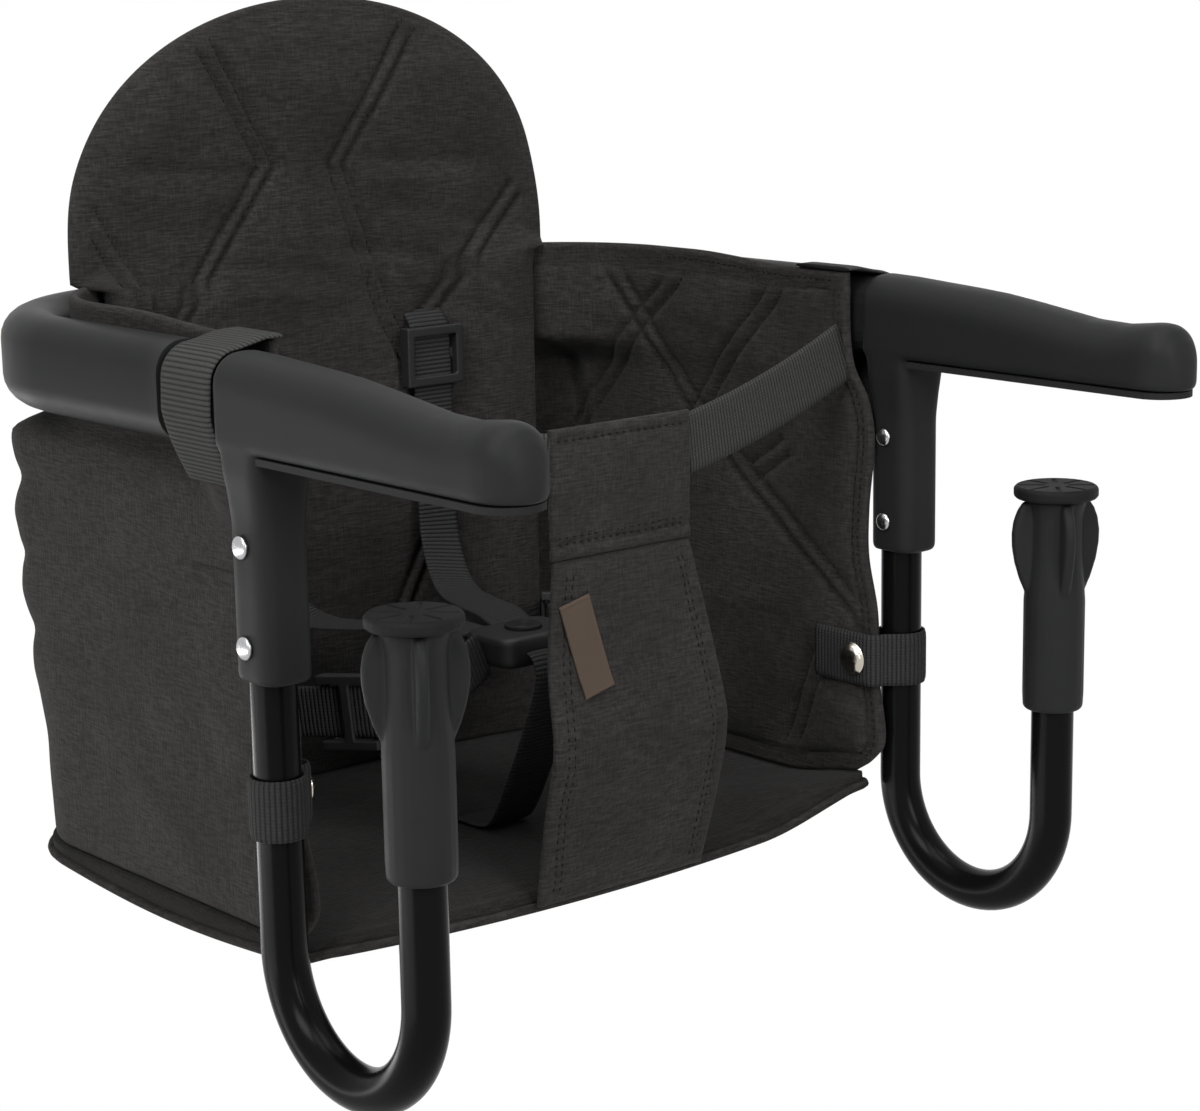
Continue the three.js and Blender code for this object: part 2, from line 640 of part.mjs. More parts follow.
function clampGrip() {
  const radius = GRIP_DIAMETER / 2;
  const waist = radius * 0.88;
  const profile = [[0, GRIP_BOTTOM_Z], [radius - 1.4, GRIP_BOTTOM_Z], [radius - 0.3, GRIP_BOTTOM_Z + 1.4],
    [radius, GRIP_BOTTOM_Z + 8], [radius, GRIP_TOP_Z - WING_LENGTH - 2], [waist, GRIP_TOP_Z - WING_LENGTH * 0.55],
    [waist, GRIP_TOP_Z - 8], [radius, GRIP_TOP_Z], [0, GRIP_TOP_Z]];
  const turns = evenly(0, WING_COUNT - 1, WING_COUNT - 1).map((k) => THREE.MathUtils.degToRad(WING_TURN_DEGREES)
    + 2 * Math.PI * k / WING_COUNT);
  const nutTop = GRIP_SHOULDER_Z + NUT_LENGTH + GAP;
  const stemBottom = PAD_BOTTOM_Z - PAD_STEM_LENGTH - GAP;
  const bores = [uprightCylinder(0, 0, GRIP_BOTTOM_Z - 1, GRIP_SHOULDER_Z - GAP, SOCKET_RADIUS + 0.1, 18),
    uprightCylinder(0, 0, GRIP_SHOULDER_Z - 1, nutTop, NUT_RADIUS + GAP, 18),
    uprightCylinder(0, 0, nutTop - 1, stemBottom + 1, SPINDLE_RADIUS + 0.8, 18),
    uprightCylinder(0, 0, stemBottom, GRIP_TOP_Z + 1, PAD_STEM_RADIUS + GAP, 18)];
  return shaped([revolved(profile, 22), ...turns.map(gripWing)], bores);
}

function clampPad() {
  const radius = PAD_DIAMETER / 2;
  const profile = [[0, PAD_BOTTOM_Z - PAD_STEM_LENGTH], [PAD_STEM_RADIUS, PAD_BOTTOM_Z - PAD_STEM_LENGTH],
    [PAD_STEM_RADIUS, PAD_BOTTOM_Z], [radius - 1.2, PAD_BOTTOM_Z], [radius, PAD_BOTTOM_Z + 1.2],
    [radius, PAD_TOP_Z - 1.2], [radius - 1.2, PAD_TOP_Z], [0, PAD_TOP_Z]];
  const grooves = evenly(0, PAD_GROOVES - 1, PAD_GROOVES - 1).map((k) => {
    const length = radius * 0.62;
    const groove = new THREE.BoxGeometry(length, PAD_GROOVE_WIDTH, 2 * PAD_GROOVE_DEPTH);
    return groove.translate(radius * 0.28 + length / 2, 0, PAD_TOP_Z).rotateZ(2 * Math.PI * k / PAD_GROOVES);
  });
  return shaped([revolved(profile, 28)], grooves);
}

// Fabric walls: flat side panels in front, one back panel that turns both corners

function bulge(z) {
  return THREE.MathUtils.smoothstep(WALL_BULGE_TOP_Z - z, 0, WALL_BULGE_DEPTH);
}

function sidePanel(side) {
  const skin = (depth) => (u, z) => {
    const front = valueAt(WALL_FRONT, z);
    const x = WALL_OUTER_X + WALL_FLARE * bulge(z) - depth;
    return new THREE.Vector3(side * x, front + (WALL_SEAM_Y - GAP - front) * u, z);
  };
  const bulgeRows = [1, 0.5, 0].map((share) => WALL_BULGE_TOP_Z - share * WALL_BULGE_DEPTH);
  const heights = [WALL_BOTTOM_Z, -187, -164, -140, -118, -91, -69, -48, ...bulgeRows, 20, WALL_TOP_Z];
  return panel(evenly(0, 1, 4), heights, skin(0), skin(WALL_THICKNESS));
}

// Plan outline of the back panel from the right seam to the left one, as a curve of length 0 to 1.
function backOutline(halfWidth, rearY, corner) {
  const path = new THREE.Path();
  path.moveTo(-halfWidth, WALL_SEAM_Y);
  path.lineTo(-halfWidth, rearY - corner);
  path.absarc(corner - halfWidth, rearY - corner, corner, Math.PI, Math.PI / 2, true);
  path.lineTo(halfWidth - corner, rearY);
  path.absarc(halfWidth - corner, rearY - corner, corner, Math.PI / 2, 0, true);
  path.lineTo(halfWidth, WALL_SEAM_Y);
  return path;
}

// Skin of the back panel: it follows the rail, fills out to tight corners below it and settles onto the base.
function backSkin(inset) {
  const corner = RAIL_CORNER_RADIUS - COVER_THICKNESS / 2 - WALL_CLEARANCE;
  const [lowX, lowY] = [WALL_OUTER_X + WALL_FLARE - inset, WALL_REAR_Y + WALL_REAR_FLARE - inset];
  const upper = backOutline(WALL_OUTER_X - inset, WALL_REAR_Y - inset, corner - inset);
  const middle = backOutline(lowX, lowY, WALL_MIDDLE_CORNER - inset);
  const lower = backOutline(lowX, lowY, WALL_LOWER_CORNER - inset);
  return (u, z) => {
    const settled = THREE.MathUtils.smoothstep(WALL_SETTLE_TOP_Z - z, 0, WALL_SETTLE_TOP_Z - WALL_BOTTOM_Z);
    const full = middle.getPointAt(u).lerp(lower.getPointAt(u), settled);
    const point = upper.getPointAt(u).lerp(full, bulge(z));
    return new THREE.Vector3(point.x, point.y, z);
  };
}

function backPanel() {
  const bulgeRows = evenly(-1, 0, 4).map((share) => WALL_BULGE_TOP_Z + share * WALL_BULGE_DEPTH);
  const heights = [WALL_BOTTOM_Z, LAP_Z, -105, WALL_SETTLE_TOP_Z, ...bulgeRows, WALL_TOP_Z];
  return panel(evenly(0, 1, BACK_COLUMNS), heights, backSkin(0), backSkin(WALL_THICKNESS));
}

// Place of the back panel's inner face at a sideways place and height.
function backWallY(x, z) {
  const inner = backSkin(WALL_THICKNESS);
  const points = evenly(0.5, 1, BACK_COLUMNS / 2).map((u) => inner(u, z));
  const k = points.findIndex((point) => point.x >= x);
  return THREE.MathUtils.mapLinear(x, points[k - 1].x, points[k].x, points[k - 1].y, points[k].y);
}

// Seat base: a covered board with a bowed front edge

function baseOutline(inset) {
  const [half, rear] = [BASE_HALF_WIDTH - inset, BASE_REAR_Y - inset];
  const [front, corner] = [BASE_FRONT_Y + inset, WALL_LOWER_CORNER - inset];
  const side = front + BASE_FRONT_BOW;
  const outline = new THREE.Shape();
  outline.moveTo(-half, side + BASE_FRONT_CORNER);
  outline.quadraticCurveTo(-half, side, BASE_FRONT_CORNER - half, side - 1);
  outline.quadraticCurveTo(0, front - BASE_FRONT_BOW + 1, half - BASE_FRONT_CORNER, side - 1);
  outline.quadraticCurveTo(half, side, half, side + BASE_FRONT_CORNER);
  outline.lineTo(half, rear - corner);
  outline.absarc(half - corner, rear - corner, corner, 0, Math.PI / 2);
  outline.lineTo(corner - half, rear);
  outline.absarc(corner - half, rear - corner, corner, Math.PI / 2, Math.PI);
  outline.closePath();
  return outline;
}

function seatBase() {
  const bevel = { bevelSize: BASE_EDGE, bevelThickness: BASE_EDGE, bevelOffset: -BASE_EDGE, bevelSegments: 2 };
  const options = { depth: BASE_THICKNESS - 2 * BASE_EDGE, curveSegments: 8, ...bevel };
  const cover = new THREE.ExtrudeGeometry(baseOutline(0), options).translate(0, 0, BASE_BOTTOM_Z + BASE_EDGE);
  const pocketHeight = BOARD_THICKNESS + 2 * GAP;
  const middle = (BASE_TOP_Z + BASE_BOTTOM_Z) / 2;
  const pocket = new THREE.ExtrudeGeometry(baseOutline(BOARD_MARGIN - GAP),
    { depth: pocketHeight, bevelEnabled: false, curveSegments: 6 });
  pocket.translate(0, 0, middle - pocketHeight / 2);
  const mouth = new THREE.BoxGeometry(2 * BOARD_MOUTH_HALF_WIDTH, 2 * BOARD_MARGIN + 4, pocketHeight);
  mouth.translate(0, BASE_REAR_Y - BOARD_MARGIN + 2, middle);
  return shaped([cover], [pocket, mouth]);
}

function seatBoard() {
  const board = new THREE.ExtrudeGeometry(baseOutline(BOARD_MARGIN),
    { depth: BOARD_THICKNESS, bevelEnabled: false, curveSegments: 6 });
  return board.translate(0, 0, (BASE_TOP_Z + BASE_BOTTOM_Z - BOARD_THICKNESS) / 2);
}

// Backrest: an arched pad with zigzag stitched channels

// 0 up to the foot of the arch, 1 at its top.
function backrestRise(z) {
  return Math.max(0, z - BACKREST_ARCH_BASE_Z) / BACKREST_ARCH_HEIGHT;
}

function backrestHalfWidth(z) {
  const rise = backrestRise(z);
  const inside = BACKREST_HALF_WIDTH - BACKREST_LOWER_HALF_WIDTH;
  return BACKREST_HALF_WIDTH * Math.sqrt(Math.max(0, 1 - rise ** BACKREST_ARCH_POWER)) - inside * stepIn(z);
}

// 0 above the rail, 1 where the pad sits between the walls.
function stepIn(z) {
  return THREE.MathUtils.smoothstep(BACKREST_STEP_TOP_Z - z, 0, BACKREST_STEP_HEIGHT);
}

// The lower edges curve forward to clear the rounded corners of the walls, and the arch leans forward.
function backrestMiddleY(z, across = 0) {
  const forward = (BACKREST_STEP + BACKREST_WING * across ** 4) * stepIn(z);
  return BACKREST_MIDDLE_Y - forward - BACKREST_LEAN * backrestRise(z);
}

// Sideways place of the inner and outer channel at a height: zigzags that almost touch between knees.
function channelPlaces(z) {
  const phase = Math.abs((z - CHANNEL_KNEE_Z) / CHANNEL_HALF_PERIOD) % 2;
  const swing = CHANNEL_SWING * (1 - Math.abs(1 - phase));
  const inner = CHANNEL_INNER_X + swing;
  const outer = CHANNEL_INNER_X + 2 * CHANNEL_SWING + CHANNEL_TOUCH_GAP - swing;
  return [inner, outer];
}

// Columns of the pad at a height: centre line, both channels with their shoulders, and the rim.
function backrestColumns(z) {
  const half = backrestHalfWidth(z);
  const [inner, outer] = channelPlaces(z);
  const marks = [0, inner - CHANNEL_HALF_WIDTH, inner, inner + CHANNEL_HALF_WIDTH - 1.5,
    outer - CHANNEL_HALF_WIDTH + 1.5, outer, outer + CHANNEL_HALF_WIDTH];
  const room = half - 4;
  const reach = Math.max(...marks);
  const fitted = marks.map((x) => (reach > room ? Math.min(x, room - (reach - x) * 0.02) : x));
  return [...fitted, half];
}

function backrestPad() {
  const stepRows = [1, 0.5, 0].map((share) => BACKREST_STEP_TOP_Z - share * BACKREST_STEP_HEIGHT);
  const kneeRows = [-139, -100, -61, -22, 17, ...stepRows, 76, CHANNEL_KNEE_Z];
  const archRows = [0.54, 0.69, 0.81, 0.89, 0.95, 0.99].map((share) => BACKREST_ARCH_BASE_Z + share * BACKREST_ARCH_HEIGHT);
  const heights = [BACKREST_BOTTOM_Z, -178, ...kneeRows, ...archRows];
  const count = backrestColumns(0).length;
  const columns = evenly(1 - count, count - 1, 2 * count - 2);
  const valleys = [2, 5];
  const skin = (facing) => (column, z) => {
    const k = Math.abs(Math.round(column));
    const places = backrestColumns(z);
    const half = places[count - 1];
    const across = half > 0 ? places[k] / half : 0;
    const nearTop = THREE.MathUtils.smoothstep(BACKREST_TOP_Z - z, 0, 40);
    const nearBottom = THREE.MathUtils.smoothstep(z - BACKREST_BOTTOM_Z, 0, 40);
    const crown = BACKREST_CROWN * Math.sqrt(1 - across ** 6) * Math.min(nearTop, nearBottom);
    const inChannel = valleys.includes(k) && places[k] < half - 8 && facing < 0;
    const thickness = BACKREST_EDGE_THICKNESS / 2 + crown - (inChannel ? CHANNEL_DEPTH : 0);
    return new THREE.Vector3(Math.sign(column) * places[k], backrestMiddleY(z, across) + facing * thickness, z);
  };
  return panel(columns, heights, skin(-1), skin(1));
}

// Front panel, waist band, belts and the bare leather patch

function crotchPanel() {
  const skin = (facing) => (u, z) => {
    const y = valueAt(CROTCH_LINE, z) + facing * CROTCH_THICKNESS / 2;
    return new THREE.Vector3(u * valueAt(CROTCH_HALF_WIDTHS, z), y, z);
  };
  const heights = CROTCH_LINE.map(([z]) => z).flatMap((z, i, all) => (i ? [(all[i - 1] + z) / 2, z] : [z]));
  return panel(evenly(-1, 1, 4), heights, skin(-1), skin(1));
}

function waistBand() {
  const height = BAND_TOP_Z - BAND_BOTTOM_Z;
  const bevel = { bevelSize: 2, bevelThickness: 2, bevelOffset: -2, bevelSegments: 2 };
  const options = { depth: BAND_THICKNESS - 2 * bevel.bevelThickness, curveSegments: 3, ...bevel };
  const band = new THREE.ExtrudeGeometry(roundedRectangle(2 * BAND_HALF_WIDTH, height, 4), options);
  return band.translate(0, 0, -options.depth / 2).rotateX(Math.PI / 2)
    .translate(0, BAND_Y, (BAND_TOP_Z + BAND_BOTTOM_Z) / 2);
}

function waistBelt(side) {
  const start = new THREE.Vector3(side * (BAND_HALF_WIDTH + BELT_END_GAP), BAND_Y, BELT_BAND_Z);
  const end = new THREE.Vector3(side * (WALL_INNER_X - BELT_END_GAP), BELT_WALL_Y, BELT_WALL_Z);
  const sag = new THREE.Vector3(0, 0, -3);
  const points = evenly(0, 1, 5).map((f) => start.clone().lerp(end, f).addScaledVector(sag, 4 * f * (1 - f)));
  const across = points.map((_, i) => new THREE.Vector3(-0.12 * side * i / 5, 0.1 * i / 5, 1));
  return strapAlong(points, across, BELT_WIDTH, BELT_THICKNESS);
}

function addPatch() {
  const outline = roundedRectangle(PATCH_WIDTH, PATCH_LENGTH, 1.5);
  const geometry = new THREE.ExtrudeGeometry(outline, { depth: PATCH_THICKNESS, bevelEnabled: false, curveSegments: 2 });
  const slope = (valueAt(CROTCH_LINE, PATCH_Z + 20) - valueAt(CROTCH_LINE, PATCH_Z - 20)) / 40;
  const patch = addMesh('leather_patch', geometry, 'leather');
  const lift = CROTCH_THICKNESS / 2 + 4 * GAP;
  patch.rotation.set(Math.PI / 2 - Math.atan(slope), 0, THREE.MathUtils.degToRad(PATCH_TILT_DEGREES), 'XYZ');
  patch.position.set(PATCH_X, valueAt(CROTCH_LINE, PATCH_Z) - lift, PATCH_Z);
}

// Webbing that hangs the seat on the rail and ties it to the legs

// Line of a strap over a bar of the given half thickness and height, from the wall's top edge
// over the bar and back to the wall's outer face; x points away from the seat.
function strapLine(halfThickness, height, radius, tail) {
  const off = STRAP_GAP + WEBBING_THICKNESS / 2;
  const top = RAIL_Z + height / 2;
  const bottom = RAIL_Z - height / 2;
  const wallX = -COVER_THICKNESS / 2 - WALL_CLEARANCE;
  const over = Math.max(top, WALL_TOP_Z) + off;
  const line = new THREE.Path();
  line.moveTo(wallX - WALL_THICKNESS + 1, over);
  line.lineTo(wallX + 2, over);
  line.absarc(halfThickness - radius, top - radius, radius + off, Math.PI / 2, 0, true);
  line.absarc(halfThickness - radius, bottom + radius, radius + off, 0, -Math.PI / 2, true);
  line.lineTo(-halfThickness / 2, bottom - off);
  line.quadraticCurveTo(wallX + off + 0.6, bottom - off, wallX + off + 0.6, bottom - tail);
  return line.getPoints(5);
}

function topStrap() {
  const line = strapLine(COLLAR_THICKNESS / 2, COLLAR_HEIGHT, COLLAR_EDGE_RADIUS, STRAP_TAIL);
  const strap = ribbon(line, WEBBING_THICKNESS, STRAP_WIDTH);
  return strap.rotateX(Math.PI / 2).translate(0, COLLAR_FRONT_Y + 1 + STRAP_WIDTH, 0);
}

function rearStrap() {
  const line = strapLine(COVER_THICKNESS / 2, COVER_HEIGHT, COVER_EDGE_RADIUS, STRAP_TAIL / 2);
  const strap = ribbon(line, WEBBING_THICKNESS, STRAP_WIDTH).translate(0, 0, -STRAP_WIDTH / 2);
  return strap.rotateX(Math.PI / 2).rotateZ(Math.PI / 2).translate(0, RAIL_REAR_Y, 0);
}

// Loop round the leg tube: from the wall's inner face, round the tube, back to the outer face.
function legLoop() {
  const off = STRAP_GAP + WEBBING_THICKNESS / 2;
  const flare = WALL_FLARE * bulge(LOOP_Z);
  const inner = WALL_INNER_X + flare - LEG_X - GAP - WEBBING_THICKNESS / 2;
  const outer = WALL_OUTER_X + flare - LEG_X + GAP + WEBBING_THICKNESS / 2;
  const around = TUBE_RADIUS + off;
  const edge = valueAt(WALL_FRONT, LOOP_Z);
  const line = new THREE.Path();
  line.moveTo(inner, LOOP_TAB_Y);
  line.lineTo(inner, edge);
  line.quadraticCurveTo(inner, -around, inner + 9, -around - 0.6);
  line.absarc(0, 0, around, -Math.PI * 0.55, Math.PI * 0.7, false);
  line.quadraticCurveTo(outer, around + 2, outer, around + 9);
  line.lineTo(outer, LOOP_TAB_Y);
  const loop = ribbon(line.getPoints(5), WEBBING_THICKNESS, LOOP_WIDTH);
  return loop.translate(0, 0, LOOP_Z - LOOP_WIDTH / 2);
}

function snap() {
  const flare = WALL_FLARE * bulge(LOOP_Z);
  const domed = evenly(0, 90, 4).map((degrees) => {
    const angle = THREE.MathUtils.degToRad(degrees);
    return [SNAP_RADIUS * Math.cos(angle), 0.8 + (SNAP_HEIGHT - 0.8) * Math.sin(angle)];
  });
  const profile = [[0, 0], [SNAP_RADIUS, 0], ...domed.slice(0, -1), [0, SNAP_HEIGHT]];
  return revolved(profile, 16).rotateY(-Math.PI / 2).translate(SNAP_X + flare - LEG_X, SNAP_Y, LOOP_Z);
}

// Harness: shoulder and lap straps with sliding adjusters, and a buckle on the crotch strap

// Ladder-lock adjuster: strap along local Y, outer bars in front of it and the middle bar behind.
function adjuster() {
  const railX = HARNESS_WIDTH / 2 + GAP + ADJUSTER_RAIL / 2;
  const deep = HARNESS_THICKNESS + 2 * (GAP + ADJUSTER_BAR_THICKNESS);
  const barZ = HARNESS_THICKNESS / 2 + GAP + ADJUSTER_BAR_THICKNESS / 2;
  const wide = 2 * railX + ADJUSTER_RAIL;
  const rails = [-1, 1].map((s) => new THREE.BoxGeometry(ADJUSTER_RAIL, ADJUSTER_LENGTH, deep).translate(s * railX, 0, 0));
  const bar = (y, z) => new THREE.BoxGeometry(wide, ADJUSTER_BAR, ADJUSTER_BAR_THICKNESS).translate(0, y, z);
  const reach = (ADJUSTER_LENGTH - ADJUSTER_BAR) / 2;
  return shaped([...rails, bar(-reach, barZ), bar(reach, barZ), bar(0, -barZ)]);
}

function shoulderY() {
  return backrestMiddleY(0) - BACKREST_EDGE_THICKNESS / 2 - BACKREST_CROWN - SHOULDER_STANDOFF;
}

function shoulderStrap(side) {
  const y = shoulderY();
  const padFace = y + SHOULDER_STANDOFF - SHOULDER_EXIT_GAP - HARNESS_THICKNESS / 2;
  const rear = BUCKLE_Y + BUCKLE_LENGTH / 2 + 2 * GAP;
  const places = [[SHOULDER_X, padFace, SHOULDER_EXIT_Z + 8], [SHOULDER_X, padFace, SHOULDER_EXIT_Z],
    [SHOULDER_X, y, SHOULDER_EXIT_Z - 12], [SHOULDER_X, y, -75], [52, y - 5, -98], [46, y - 24, -116],
    [34, 140, -115], [18, 106, -110], [13, rear + 8, BUCKLE_Z + 3], [13, rear, BUCKLE_Z + 3]];
  const points = places.map(([x, py, z]) => new THREE.Vector3(side * x, py, z));
  return strapAlong(points, points.map(() => new THREE.Vector3(1, 0, 0)), HARNESS_WIDTH - 2, HARNESS_THICKNESS);
}

// Lap strap on edge from the back wall, past the pad and through its adjuster to the buckle; each lies as it was left.
const LAP_STRAPS = {
  right: { side: -1, middle: [80, 88, -137], bend: [50, 56, -126], end: [BUCKLE_WIDTH / 2 + 4, 60, BUCKLE_Z] },
  left: { side: 1, middle: [76, 140, -133], bend: [38, 88, -120], end: [BUCKLE_WIDTH / 2 + 3, 66, BUCKLE_Z] },
};

function lapLine({ side, middle, bend, end }) {
  const place = ([x, y, z]) => new THREE.Vector3(side * x, y, z);
  const start = place([LAP_X, backWallY(LAP_X, LAP_Z) - 3 * GAP, LAP_Z]);
  const corner = place([LAP_X, BACKREST_MIDDLE_Y - 12, LAP_Z]);
  const along = place(middle).sub(corner).normalize();
  const across = new THREE.Vector3(0, 0, 1).addScaledVector(along, -along.z).normalize();
  const enter = place(middle).addScaledVector(along, -ADJUSTER_LENGTH * 0.9);
  const leave = place(middle).addScaledVector(along, ADJUSTER_LENGTH * 0.9);
  const points = [start, corner, enter, leave, place(bend), place(end)];
  return { along, across, points, turns: points.map(() => across), middle: place(middle) };
}

function lapStrap(lap) {
  const { points, turns } = lapLine(lap);
  return strapAlong(points, turns, HARNESS_WIDTH - 2, HARNESS_THICKNESS);
}

function addLapAdjuster(name, lap) {
  const { along, across, middle } = lapLine(lap);
  const mesh = addMesh(name, adjuster(), 'plastic');
  mesh.quaternion.setFromRotationMatrix(new THREE.Matrix4().makeBasis(across, along, across.clone().cross(along)));
  mesh.position.copy(middle);
}

function buckle() {
  const bevel = { bevelSize: 3, bevelThickness: 3, bevelOffset: -3, bevelSegments: 2 };
  const depth = BUCKLE_THICKNESS - 2 * bevel.bevelThickness;
  const body = new THREE.ExtrudeGeometry(roundedRectangle(BUCKLE_WIDTH, BUCKLE_LENGTH, 8), { depth, curveSegments: 3, ...bevel });
  return body.translate(0, BUCKLE_Y, BUCKLE_Z - depth / 2);
}

function crotchStrap() {
  const front = BUCKLE_Y - BUCKLE_LENGTH / 2 - GAP;
  const floor = BASE_TOP_Z + GAP + HARNESS_THICKNESS / 2;
  const points = [[front, BUCKLE_Z], [front - 5, BUCKLE_Z - 2], [front - 8, BUCKLE_Z - 12], [front + 12, -170],
    [front + 28, floor + 4], [front + 36, floor], [front + 56, floor]].map(([y, z]) => new THREE.Vector3(0, y, z));
  return strapAlong(points, points.map(() => new THREE.Vector3(1, 0, 0)), HARNESS_WIDTH, HARNESS_THICKNESS);
}

// Assembly

addRail();
addMesh('back_panel', backPanel(), 'fabric');
addMesh('backrest_pad', backrestPad(), 'fabric');
addMesh('seat_base', seatBase(), 'fabric');
addMesh('seat_board', seatBoard(), 'board');
addMesh('crotch_panel', crotchPanel(), 'fabric');
addMesh('waist_band', waistBand(), 'fabric');
addPatch();

for (const [name, side] of [['right', -1], ['left', 1]]) {
  const atLeg = new THREE.Group();
  atLeg.position.x = side * LEG_X;
  chair.add(atLeg);
  addMesh(`${name}_rail_collar`, onSide(railCollar(), side), 'rubber', atLeg);
  addMesh(`${name}_arm_shell`, onSide(armShell(), side), 'plastic', atLeg);
  addMesh(`${name}_arm_pad`, onSide(armPad(), side), 'rubber', atLeg);
  addMesh(`${name}_rivet_upper`, onSide(rivet(RIVET_HEIGHTS[0]), side), 'steel', atLeg);
  addMesh(`${name}_rivet_lower`, onSide(rivet(RIVET_HEIGHTS[1]), side), 'steel', atLeg);
  addMesh(`${name}_swivel_pin`, swivelPin(), 'steel', atLeg);
  addMesh(`${name}_hook_tube`, onSide(hookTube(), side), 'blackSteel', atLeg);
  addMesh(`${name}_top_strap`, onSide(topStrap(), side), 'webbing', atLeg);
  addMesh(`${name}_leg_loop`, onSide(legLoop(), side), 'webbing', atLeg);
  addMesh(`${name}_snap`, onSide(snap(), side), 'steel', atLeg);

  const atPost = new THREE.Group();
  atPost.position.set(side * LEG_X, -HOOK_REACH, 0);
  chair.add(atPost);
  addMesh(`${name}_clamp_spindle`, clampSpindle(), 'steel', atPost);
  addMesh(`${name}_clamp_nut`, clampNut(), 'brass', atPost);
  addMesh(`${name}_clamp_grip`, clampGrip(), 'plastic', atPost);
  addMesh(`${name}_clamp_pad`, clampPad(), 'rubber', atPost);

  addMesh(`${name}_side_panel`, sidePanel(side), 'fabric');
  addMesh(`${name}_waist_belt`, waistBelt(side), 'webbing');
  addMesh(`${name}_rear_strap`, rearStrap(), 'webbing').position.x = side * REAR_STRAP_X;
  addMesh(`${name}_shoulder_strap`, shoulderStrap(side), 'webbing');
  const shoulderAdjuster = addMesh(`${name}_shoulder_adjuster`, adjuster(), 'plastic');
  shoulderAdjuster.rotation.x = Math.PI / 2;
  shoulderAdjuster.position.set(side * SHOULDER_X, shoulderY(), SHOULDER_ADJUSTER_Z);
  addMesh(`${name}_lap_strap`, lapStrap(LAP_STRAPS[name]), 'webbing');
  addLapAdjuster(`${name}_lap_adjuster`, LAP_STRAPS[name]);
}

addMesh('harness_buckle', buckle(), 'plastic');
addMesh('crotch_strap', crotchStrap(), 'webbing');

export default chair;
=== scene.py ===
"""Looks of a hook-on table chair: quilted cloth, webbing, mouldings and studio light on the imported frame."""
import math

import bmesh
import bpy
import numpy as np
from mathutils import Matrix, Vector


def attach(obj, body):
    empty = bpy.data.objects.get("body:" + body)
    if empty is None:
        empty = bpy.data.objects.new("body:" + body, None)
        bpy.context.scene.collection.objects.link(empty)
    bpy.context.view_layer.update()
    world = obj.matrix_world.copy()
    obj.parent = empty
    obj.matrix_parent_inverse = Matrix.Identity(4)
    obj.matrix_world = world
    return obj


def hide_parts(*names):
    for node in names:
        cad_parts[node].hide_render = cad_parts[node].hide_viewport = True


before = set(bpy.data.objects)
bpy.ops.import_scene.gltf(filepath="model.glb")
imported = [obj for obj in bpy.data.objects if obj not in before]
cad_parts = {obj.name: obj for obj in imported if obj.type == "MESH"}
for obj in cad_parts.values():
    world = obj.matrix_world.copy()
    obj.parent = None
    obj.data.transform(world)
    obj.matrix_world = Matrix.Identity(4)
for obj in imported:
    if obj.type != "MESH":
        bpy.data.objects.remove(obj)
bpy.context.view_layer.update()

SCENE = bpy.context.scene
MM = 0.001
SIDES = {"right": -1, "left": 1}

# Camera at the photograph's place: bearing, height and roll in degrees, place in m, lens and sensor in mm
CAMERA_AZIMUTH, CAMERA_ELEVATION, CAMERA_ROLL = -40.49, 12.24, -0.95
CAMERA_PLACE = (-0.7794, -0.9108, 0.1866)
CAMERA_LENS, CAMERA_SENSOR, CAMERA_SHIFT = 85.5, 36.0, (-0.0104, 0.0151)

# Floor, in mm
FLOOR_REACH, FLOOR_LEVEL = 6000, -740

# Sizes in mm, repeated from the solids but for the wider straps over the rail (TOP_STRAP_WIDTH)
LEG_X, HOOK_REACH = 177.5, 94.0
TUBE_RADIUS, HOOK_TOP, HOOK_BEND_Z, POST_TOP = 9.5, -16.0, -197.5, -100.0
RAIL_Z, RAIL_REAR, RAIL_CORNER = 20.5, 244.0, 95.0
COVER_HEIGHT, COVER_THICKNESS, COVER_EDGE, COVER_FRONT = 41.0, 28.0, 13.0, 53.0
COLLAR_HEIGHT, COLLAR_THICKNESS, COLLAR_EDGE, COLLAR_FRONT = 37.0, 25.0, 12.0, 12.6
WALL_X, WALL_REAR, WALL_T = 162.5, 229.0, 7.0
WALL_TOP, WALL_BOTTOM, WALL_SEAM = 42.0, -204.7, 147.0
WALL_FLARE, WALL_REAR_FLARE = 3.0, 11.0
WALL_UPPER_CORNER, WALL_MIDDLE_CORNER, WALL_LOWER_CORNER = 80.0, 28.0, 50.0
WALL_FRONT = [(-205, 15), (-199, 5), (-187, -4), (-150, 0), (-118, 1), (-91, 7), (-69, 7), (-30, 4), (5, 15.5),
              (42, 17)]
BASE_TOP, BASE_BOTTOM, BASE_HALF, BASE_REAR = -205.0, -214.0, 167.0, 241.5
BASE_MIDDLE = (BASE_TOP + BASE_BOTTOM) / 2
PAD_HALF, PAD_LOWER_HALF, PAD_BOTTOM, PAD_MIDDLE = 135.0, 122.0, -204.7, 218.0
PAD_ARCH_FOOT, PAD_TOP, PAD_LEAN, PAD_STEP, PAD_WING = 50.0, 170.0, 10.0, 4.8, 9.0
BAND_HALF, BAND_TOP, BAND_BOTTOM, BAND_Y = 39.0, -6.0, -62.0, -4.0
CROTCH_BOTTOM, CROTCH_TOP = -213.5, -62.3
CROTCH_HALF = [(CROTCH_BOTTOM, 47), (-170, 50), (-140, 49), (-105, 46), (CROTCH_TOP, 38)]
CROTCH_LINE = [(CROTCH_BOTTOM, 0.2), (-172, -10), (-142, -16), (-108, -10), (CROTCH_TOP, -4)]
PATCH_HALF, PATCH_LONG_HALF, PATCH_X, PATCH_Z, PATCH_TILT = 8.5, 20.5, -27, -99, 12
